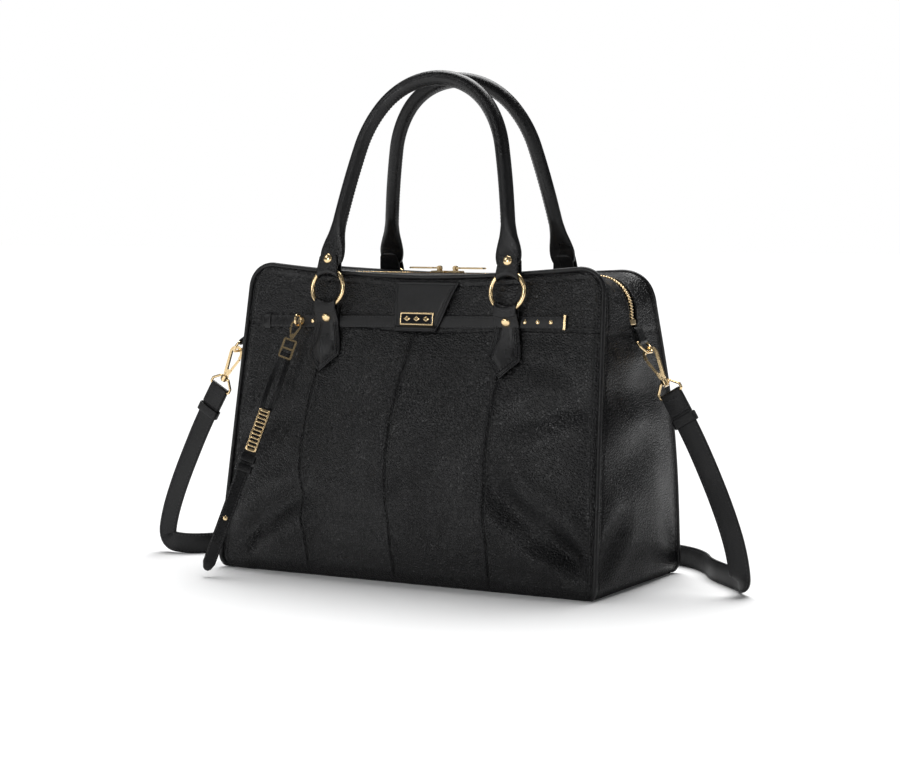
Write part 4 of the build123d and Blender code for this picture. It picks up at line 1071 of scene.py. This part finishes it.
tab_rows, rivet_spots, rivet_outs = [], [], []
for side, word in ((-1, "front"), (1, "rear")):
    out = np.array([0, side * np.cos(TILT), np.sin(TILT)])
    for x0, hand in ((-TAB_X, "left"), (TAB_X, "right")):
        outline = (tuple((-x, z) for x, z in TAB_CHAIN), tuple((x, z) for x, z in TAB_CHAIN))
        tab = slab(
            f"{word}_{hand}_tab", outline, tab_under, TAB_THICK, 1.1, tab_hide, tab_relief, side, x0, rows=90,
            columns=50
        )
        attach(tab, "bag")
        # The fold over the ring: up the front of the wire, over it and down behind, as wide as the tab and
        # dished to follow the ring.
        wide = np.linspace(-11.2, 11.2, 25)
        turn = np.linspace(0, pi, 15)
        heights = np.concatenate(
            [
                np.linspace(245, RING_FOOT, 6)[:-1], RING_FOOT + 3.3 * np.sin(turn),
                np.linspace(RING_FOOT, 240, 8)[1:]
            ]
        )
        lifts = np.concatenate(
            [
                np.full(5, STANDOFF + 3.3), STANDOFF + 3.3 * np.cos(turn),
                np.linspace(STANDOFF - 3.3, 3.4, 8)[1:]
            ]
        )
        lifts[:5] = STANDOFF + 3.3 - 1.2 * (1 - smooth(heights[:5], 243, 252))
        dish = (RING_RADIUS - np.sqrt(RING_RADIUS**2 - wide**2))[None] * smooth(heights, 238, 254)[:, None]
        points = on_face(x0 + wide[None], heights[:, None] + dish, lifts[:, None], side)
        saddle = sheet_piece(
            f"{word}_{hand}_tab_fold", points, tab_hide, on_face(x0, RING_FOOT, STANDOFF, side)
        )
        wall = saddle.modifiers.new("hide", "SOLIDIFY")
        wall.thickness = 0.0017
        wall.offset = 0.0
        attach(saddle, "bag")
        rivet_spots.append(on_face(x0, 241.0, tab_under(0, 241.0) + TAB_THICK, side))
        slope = 6.6 * (smooth(242.0, 236, 251) - smooth(240.0, 236, 251)) / 2
        rivet_outs.append(out - slope * np.array([0, -side * np.sin(TILT), np.cos(TILT)]))
        for inset in (2.0, 5.2):
            chain = np.array(TAB_CHAIN[:4], float)
            line_up = np.concatenate([np.linspace(190 + inset * 1.45, 207.5, 9), np.linspace(208.5, 237, 15)])
            half_x = np.maximum(
                np.interp(line_up, chain[:, 1], chain[:, 0]) - inset * np.where(line_up < 207.5, 1.40, 1.02),
                0
            )
            for sign in (-1, 1):
                line_x = sign * half_x
                path = on_face(x0 + line_x, line_up, tab_under(line_x, line_up) + TAB_THICK - 0.1, side)
                tab_rows.append((path, out))
tab_sewing = stitches("tab_stitching", tab_rows, thread, 2.9, 2.0, 0.36)
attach(tab_sewing, "bag")
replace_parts(tab_sewing, "front_handle_tabs", "rear_handle_tabs")
tab_rivets = domes("tab_rivet_heads", rivet_spots, rivet_outs, 4.4, 2.3, gold)
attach(tab_rivets, "bag")
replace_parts(tab_rivets, "tab_rivets")

# ---- handles -------------------------------------------------------------------------------------
# Two rolled handles: smooth hide sewn round a cord along its inner side. Each end is pressed flat, riveted
# through a short strap, and the strap goes round the head of a ring.
LEAN = radians(12.1)
HEAD_OUT, HEAD_UP = 57.01, 283.85
TUBE = 6.5
ARCS = ((763.0, 8.0), (100.0, 24.0), (72.0, 104.0), (100.0, 24.0), (763.0, 8.0))
FLAT_RUN = 9.0
handle_hide = leather("handle_hide", 850, 0.00010, 0.27)
arc_lengths = np.array([r * radians(a) for r, a in ARCS])
ends = np.concatenate([[0, FLAT_RUN], FLAT_RUN + np.cumsum(arc_lengths)])
turned = np.concatenate([[0, 0], np.cumsum([radians(a) for _, a in ARCS])])
total = ends[-1] + FLAT_RUN
along_handle = np.unique(
    np.concatenate(
        [np.linspace(0, 60, 61), np.linspace(60, total - 60, 230), np.linspace(total - 60, total, 61)]
    )
)
heading = radians(84) - np.interp(along_handle, np.append(ends, total), np.append(turned, turned[-1]))
fine = np.linspace(0, total, 4001)
fine_heading = radians(84) - np.interp(fine, np.append(ends, total), np.append(turned, turned[-1]))
step_size = fine[1]
fine_a = np.concatenate([[0], np.cumsum(np.cos((fine_heading[1:] + fine_heading[:-1]) / 2))]) * step_size
fine_b = np.concatenate([[0], np.cumsum(np.sin((fine_heading[1:] + fine_heading[:-1]) / 2))]) * step_size
handle_a = np.interp(along_handle, fine, fine_a)
handle_a = handle_a - (fine_a[0] + fine_a[-1]) / 2
handle_b = np.interp(along_handle, fine, fine_b) + 12.0 - FLAT_RUN * np.sin(radians(84))
from_end = np.minimum(along_handle, total - along_handle)
wide_half = np.interp(
    from_end, [0, 1.0, 3, 7, 14, 22, 31, 42, 55], [6.4, 8.4, 10.8, 12.4, 13.0, 11.2, 8.4, 6.7, TUBE]
)
wide_half = np.convolve(np.pad(wide_half, 3, mode="edge"), np.ones(7) / 7, "valid")
thick_half = np.interp(from_end, [0, 1.2, 4, 17, 31, 46], [1.2, 2.1, 2.6, 2.7, 4.5, TUBE])
square = np.interp(from_end, [0, 20, 45], [0.55, 0.6, 1.0])[:, None]
turn = np.linspace(0, 2 * pi, 36, endpoint=False)[None]
seam_ridge = 0.17 * bell(turn - pi / 2, 0, 0.16) + 0.02 * bell(turn - pi / 2, 0, 0.7)
ridge = 1 + seam_ridge * smooth(from_end, 34, 60)[:, None]
profile = np.stack(
    [
        thick_half[:, None] * np.sign(np.cos(turn)) * np.abs(np.cos(turn)) ** square * ridge,
        wide_half[:, None] * np.sign(np.sin(turn)) * np.abs(np.sin(turn)) ** square * ridge,
    ],
    -1,
)


def on_handle(a, b, c, side):
    """A place in a handle's leaning plane: a across, b up from the ring's head, c outwards."""
    a, b, c = np.broadcast_arrays(np.asarray(a, float), np.asarray(b, float), np.asarray(c, float))
    y = side * (HEAD_OUT - np.sin(LEAN) * b + np.cos(LEAN) * c)
    return np.stack([a, y, HEAD_UP + np.cos(LEAN) * b + np.sin(LEAN) * c], -1)


for side, word in ((-1, "front"), (1, "rear")):
    body = f"{word}_handle"
    handle_out = np.array([0, side * np.cos(LEAN), np.sin(LEAN)])
    path = on_handle(handle_a, handle_b, 0.0, side)
    mirrored = profile if side < 0 else profile * (1, -1)
    grip = swept(f"{word}_grip", path, handle_out, mirrored, handle_hide)
    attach(grip, body)
    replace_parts(grip, f"{word}_handle")
    finish_node(f"{word}_handle_core", twill)
    seam_part = (from_end > 40) & (from_end < total)
    inward = np.stack([np.sin(heading), -np.cos(heading)], -1)
    rows_of_thread = []
    for c in (-3.1, 3.1):
        depth = np.sqrt(TUBE**2 - c**2) + 0.1
        row = on_handle(handle_a + inward[:, 0] * depth, handle_b + inward[:, 1] * depth, c, side)
        further_in = 2 * depth * inward
        further = on_handle(handle_a + further_in[:, 0], handle_b + further_in[:, 1], 2 * c, side)
        away = further - row
        rows_of_thread.append((row[seam_part], away[seam_part]))
    spots, outs = [], []
    for x0, hand in ((-TAB_X, "left"), (TAB_X, "right")):
        share = np.linspace(-1, 1, 25)
        turn_round = np.linspace(0, pi, 15)
        up = np.concatenate(
            [np.linspace(15, 0, 9)[:-1], -3.5 * np.sin(turn_round), np.linspace(0, 15, 9)[1:]]
        )
        off = np.concatenate([np.full(8, 3.5), 3.5 * np.cos(turn_round), np.full(8, -3.5)])
        half_wide = (9.6 + 1.6 * (1 - smooth(up, 0, 12)))[:, None]
        round_end = np.where(up > 11, np.sqrt(np.clip(1 - ((up - 11) / 4.4) ** 2, 0.05, 1)), 1.0)[:, None]
        a = share[None] * half_wide * round_end
        dish = -(RING_RADIUS - np.sqrt(RING_RADIUS**2 - a**2)) * (1 - smooth(up, 0, 10))[:, None]
        points = on_handle(x0 + a, up[:, None] + dish, off[:, None], side)
        strap = sheet_piece(f"{word}_{hand}_handle_strap", points, handle_hide, on_handle(x0, 0, 0, side))
        wall = strap.modifiers.new("hide", "SOLIDIFY")
        wall.thickness = 0.0016
        wall.offset = 0.0
        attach(strap, body)
        spots.append(on_handle(x0, 10.0, 4.3, side))
        outs.append(handle_out)
        for sign in (-1, 1):
            row_up = np.linspace(1.5, 10.5, 6)
            rows_of_thread.append(
                (
                    on_handle(x0 + sign * (7.9 + 1.3 * (1 - smooth(row_up, 0, 12))), row_up, 4.35, side),
                    handle_out
                )
            )
    sewing = stitches(f"{word}_handle_stitching", rows_of_thread, thread, 3.2, 2.2, 0.36)
    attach(sewing, body)
    heads = domes(f"{word}_handle_rivet_heads", spots, outs, 4.5, 2.5, gold)
    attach(heads, body)
    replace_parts(heads, f"{word}_handle_rivets")

# ---- side tabs -----------------------------------------------------------------------------------
# A short loop of smooth hide below each end of the zip, sewn to the gusset, with the D-ring's bar in it.
tab_threads = []
for hand, sign, y, drop in (("right", 1, 0.0, 0.0), ("left", -1, -40.0, -10.0)):
    bar = np.array([199.0 + (5.0 if sign < 0 else 0.0), 222.0 + drop])
    wall_x = 194.8 if sign > 0 else 193.0
    turn = np.linspace(radians(28), radians(-190), 20)
    arc = bar + 2.3 * np.stack([np.cos(turn), np.sin(turn)], -1)
    front_part = np.array(
        [[wall_x - 1.0, bar[1] + 12.5], [wall_x + 1.6, bar[1] + 11.5], [wall_x + 3.3, bar[1] + 7.5]]
    )
    back_part = np.array(
        [[wall_x + 0.4, bar[1] + 3.0], [wall_x - 0.6, bar[1] + 8.0], [wall_x - 1.6, bar[1] + 11.0]]
    )
    line_xz = np.concatenate([front_part, arc, back_part])
    run = np.concatenate([[0], np.cumsum(np.linalg.norm(np.diff(line_xz, axis=0), axis=1))])
    at = np.linspace(0, run[-1], 60)
    line_xz = np.stack([np.interp(at, run, line_xz[:, k]) for k in range(2)], -1)
    padded_line = np.pad(line_xz, ((4, 4), (0, 0)), mode="edge")
    line_xz = np.stack([np.convolve(padded_line[:, k], np.ones(9) / 9, "valid") for k in range(2)], -1)
    path = np.stack([sign * line_xz[:, 0], np.full(60, y), line_xz[:, 1]], -1)
    loop = swept(f"side_tab_{hand}_loop", path, (0, 1, 0), round_bar(14.4, 1.7, 0.7), tab_hide)
    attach(loop, "bag")
    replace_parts(loop, f"side_tab_{hand}")
    _, side_unit, up_unit = frames_along(path, (0, 1, 0))
    turn_out = np.sign((up_unit[8] * np.array([sign, 0, 0])).sum())
    for off in (-5.3, 5.3):
        row = path + side_unit * off + up_unit * turn_out * 0.9
        tab_threads.append((row[4:26], (up_unit * turn_out)[4:26]))
side_sewing = stitches("side_tab_stitching", tab_threads, thread, 2.9, 2.0, 0.34)
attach(side_sewing, "bag")

# ---- strap ends ----------------------------------------------------------------------------------
# Each end of the shoulder strap is turned round the bar of its swivel loop, sewn back on itself and held by
# a keeper, a band of the same hide bent round both layers.
HOOK_LEAN = radians(30.5)
LOOP_BAR = 42.5
for hand, sign, shift in (("right", 1, (0.0, 0.0, 0.0)), ("left", -1, (-5.0, -40.0, -10.0))):
    chain_start = np.array([sign * 207.0, 0.0, 213.0]) + shift
    down_strap = np.array([sign * np.sin(HOOK_LEAN), 0.0, -np.cos(HOOK_LEAN)])
    square_strap = np.array([sign * np.cos(HOOK_LEAN), 0.0, np.sin(HOOK_LEAN)])
    turn = np.linspace(pi / 2, 3 * pi / 2, 16)
    run_a = np.concatenate([np.linspace(66, 46, 10), LOOP_BAR + 2.2 * np.cos(turn), np.linspace(46, 62, 9)])
    run_y = np.concatenate([np.full(10, 2.4), 2.2 * np.sin(turn), np.full(9, -2.4)])
    run_y[7:12] = np.linspace(2.4, 2.15, 5)
    path = chain_start + run_a[:, None] * down_strap + run_y[:, None] * np.array([0, 1.0, 0])
    turned_end = swept(f"strap_end_{hand}", path, square_strap, round_bar(19.4, 1.3, 0.5), smooth_hide)
    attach(turned_end, "strap")
    ends_rows = []
    for face in (-1, 1):
        above = chain_start + np.array([0, face * 3.1, 0])
        cross = np.linspace(-7.6, 7.6, 12)[:, None] * square_strap
        long_run = np.linspace(48, 60, 8)[:, None] * down_strap
        ends_rows += [(above + along * down_strap + cross, (0, face, 0)) for along in (60.5, 47.5)]
        ends_rows += [(above + long_run + edge * square_strap, (0, face, 0)) for edge in (-7.6, 7.6)]
    end_sewing = stitches(f"strap_end_{hand}_stitching", ends_rows, thread, 3.2, 2.2, 0.36)
    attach(end_sewing, "strap")
    ring = round_bar(22.6, 6.4, 2.2, 8)
    middle = chain_start + 68.7 * down_strap
    path = middle + ring[:, :1] * square_strap + ring[:, 1:] * np.array([0, 1.0, 0])
    band = swept(f"strap_keeper_{hand}", path, down_strap, round_bar(8.4, 1.5, 0.6), smooth_hide, loop=True)
    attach(band, "strap")
    if sign > 0:
        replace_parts(band, "strap_keepers")

# ---- charm ---------------------------------------------------------------------------------------
# A wrist strap clipped to the belt: two thin strands from a ladder buckle, a gilt ladder plate on a backing,
# a keeper of two bands, and a long loop of sewn hide that reaches the floor.
CHARM_AT = np.array([-125.0, -65.87, 234.89])
CHARM_DOWN = np.array([-0.2025, -0.3222, -0.9248])
CHARM_DOWN = CHARM_DOWN / np.linalg.norm(CHARM_DOWN)
CHARM_OUT = np.array([0.57, -0.80, 0.14])
CHARM_OUT = unit(CHARM_OUT - CHARM_DOWN * (CHARM_OUT @ CHARM_DOWN))
CHARM_SIDE = np.cross(CHARM_OUT, CHARM_DOWN)
charm_hide = leather("charm_hide", 900, 0.00010, 0.27)


def on_charm(a, b, h):
    """A place on the charm: a down it, b across it and h out of its face."""
    a, b, h = (np.asarray(v, float)[..., None] for v in np.broadcast_arrays(a, b, h))
    return CHARM_AT + a * CHARM_DOWN + b * CHARM_SIDE + h * CHARM_OUT


charm_pieces, gilt_pieces, charm_rows = [], [], []
for number, sign in enumerate((-1, 1)):
    run = np.linspace(31, 92, 50)
    spread = sign * (
        2.7 + 2.0 * np.sin(pi * np.clip((run - 31) / 61, 0, 1)) ** 0.8 + 0.6 * smooth(run, 60, 92)
    )
    rise = 0.8 * np.sin(run / 9.0 + sign)
    path = on_charm(run, spread, rise)
    charm_pieces.append(
        swept(f"charm_strand_{number}", path, CHARM_SIDE, round_bar(4.6, 2.0, 0.7), charm_hide)
    )
backing = swept(
    "charm_backing", on_charm(np.linspace(86, 137, 20), 0, 0), CHARM_SIDE, round_bar(12.0, 2.2, 0.8),
    charm_hide
)
charm_pieces.append(backing)
half_run = np.linspace(139, 240, 70)
bulge = 1.35 + 0.9 * np.sin(pi * np.clip((half_run - 152) / 88, 0, 1)) ** 2
turn = np.linspace(pi / 2, -pi / 2, 14)[1:-1]
loop_a = np.concatenate([half_run, 245.4 + 1.4 * np.cos(turn), half_run[::-1]])
loop_h = np.concatenate([bulge, 1.35 * np.sin(turn), -bulge[::-1]])
loop_path = on_charm(loop_a, 0, loop_h)
from_tip = 247.0 - loop_a
half_wide = 6.0 * np.sqrt(np.clip(1 - (1 - np.clip(from_tip / 6.0, 0, 1)) ** 2, 0.12, 1))
flat_bar = round_bar(2.0, 1.5, 0.5)
loop_profile = np.stack(
    np.broadcast_arrays(flat_bar[None, :, 0] * half_wide[:, None], flat_bar[None, :, 1]), -1
)
charm_pieces.append(swept("charm_loop", loop_path, CHARM_SIDE, loop_profile, charm_hide))
for b in (-4.4, 4.4):
    row_a = np.linspace(153, 236, 40)
    height = 1.35 + 0.9 * np.sin(pi * np.clip((row_a - 152) / 88, 0, 1)) ** 2 + 0.78
    charm_rows.append((on_charm(row_a, b, height), CHARM_OUT))
    charm_rows.append((on_charm(row_a, b, -height), -CHARM_OUT))
keeper_ring = round_bar(14.6, 6.9, 1.8, 7)
for number, a in enumerate((136.6, 146.4)):
    path = on_charm(a, keeper_ring[:, 0], keeper_ring[:, 1])
    charm_pieces.append(
        swept(
            f"charm_keeper_band_{number}", path, CHARM_DOWN, round_bar(6.6, 1.3, 0.5), charm_hide, loop=True
        )
    )
rail_a = np.linspace(88.8, 129.2, 12)
for number, b in enumerate((-4.5, 4.5)):
    gilt_pieces.append(
        swept(f"ladder_rail_{number}", on_charm(rail_a, b, 2.1), CHARM_SIDE, round_bar(1.5, 2.0, 0.4), gold)
    )
for number, a in enumerate(np.linspace(89.6, 128.4, 11)):
    wide = 2.6 if number in (0, 10) else 1.7
    gilt_pieces.append(
        swept(
            f"ladder_rung_{number}", on_charm(a, np.linspace(-4.4, 4.4, 6), 1.95), CHARM_DOWN,
            round_bar(wide, 1.6, 0.4), gold
        )
    )
gilt_pieces.append(domes("charm_rivet_head", [on_charm(196.0, 0.0, 2.9)], [CHARM_OUT], 2.4, 1.4, gold))
charm_sewing = stitches("charm_stitching", charm_rows, thread, 3.0, 2.0, 0.34)
for piece in (*charm_pieces, charm_sewing):
    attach(piece, "charm")
for piece in gilt_pieces:
    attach(piece, "charm")
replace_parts(charm_pieces[0], "charm_strap")
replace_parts(charm_pieces[-1], "charm_keeper")
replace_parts(gilt_pieces[0], "charm_plate")
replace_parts(gilt_pieces[-1], "charm_rivet")

# ---- lining --------------------------------------------------------------------------------------
# A loose bag of woven black cloth inside the shell, with a slip pocket on the rear wall, a bottle pocket at
# each end and a stiff board under it.
cloth, cloth_shader, add, link = nodes_of("lining_cloth")
place = add("ShaderNodeTexCoord").outputs["Object"]
warp_wave = add("ShaderNodeTexWave", [("Vector", place), ("Scale", 380.0)], bands_direction="X")
weft_wave = add("ShaderNodeTexWave", [("Vector", place), ("Scale", 380.0)], bands_direction="Z")
weave = add(
    "ShaderNodeMath", [(0, warp_wave.outputs["Fac"]), (1, weft_wave.outputs["Fac"])], operation="MULTIPLY"
)
link(
    add("ShaderNodeBump", [("Height", weave.outputs[0]), ("Distance", 0.0002)]).outputs[0],
    cloth_shader.inputs["Normal"]
)
cloth_tone = add("ShaderNodeMix", [("Factor", weave.outputs[0])], data_type="RGBA")
cloth_tone.inputs["A"].default_value = (0.012, 0.012, 0.013, 1)
cloth_tone.inputs["B"].default_value = (0.035, 0.035, 0.037, 1)
link(cloth_tone.outputs["Result"], cloth_shader.inputs["Base Color"])
cloth_shader.inputs["Roughness"].default_value = 0.75
finish_node("base_board", cloth)
turn = np.linspace(0, 2 * pi, 181)[:-1]
levels = np.concatenate([np.full(6, 6.4), np.linspace(6.4, 229, 40)])[:, None]
shrink = np.concatenate([np.linspace(0.0, 1.0, 7)[:-1] ** 0.5, np.ones(40)])[:, None]
power = 2 / 7
box_x = np.sign(np.cos(turn)) * np.abs(np.cos(turn)) ** power * (face_half(levels) - 6.0)
box_y = np.sign(np.sin(turn)) * np.abs(np.sin(turn)) ** power * (HALF_DEPTH - 0.15 * levels - 6.5)
crumple = 1 - 0.012 * (1 + np.sin(turn * 23 + levels / 19)) * smooth(levels, 8, 60)
lining_points = np.stack(np.broadcast_arrays(box_x * shrink * crumple, box_y * shrink * crumple, levels), -1)
lining = mesh_piece("lining_bag", lining_points, grid_faces(46, 180, around=True), cloth, inside=BAG_MIDDLE)
wall = lining.modifiers.new("cloth", "SOLIDIFY")
wall.thickness = 0.0008
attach(lining, "bag")
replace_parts(lining, "lining")


def pocket(name, centre, width, height, depth, turned):
    """A patch pocket seen from inside: a sheet whose sides run back to the wall and whose mouth stands
    open."""
    share = np.linspace(-1, 1, 41)
    rise = np.linspace(0, 1, 21)[:, None]
    across = share[None] * width / 2 + 0 * rise
    stand = depth * (1 - np.abs(share[None]) ** 6) * (0.45 + 0.55 * rise)
    stand = stand + 0.5 * np.sin(share[None] * 19) * rise
    up = rise * height + 0 * share[None]
    points = np.stack([across, stand, up], -1)
    if turned == "rear":
        points = np.stack([across, 81.0 - 0.15 * up - stand, up], -1)
    else:
        points = np.stack([turned * (187.0 - 0.03 * up - stand), across, up], -1)
    points = points + np.array(centre)
    made = sheet_piece(name, points, cloth, BAG_MIDDLE)
    wall = made.modifiers.new("cloth", "SOLIDIFY")
    wall.thickness = 0.0009
    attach(made, "bag")
    return made


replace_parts(pocket("slip_pocket_cloth", (0, 0, 33), 170, 119, 8, "rear"), "slip_pocket")
left_pocket = pocket("bottle_pocket_left_cloth", (0, 0, 7), 84, 109, 34, -1)
pocket("bottle_pocket_right_cloth", (0, 0, 7), 84, 109, 34, 1)
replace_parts(left_pocket, "bottle_pockets")
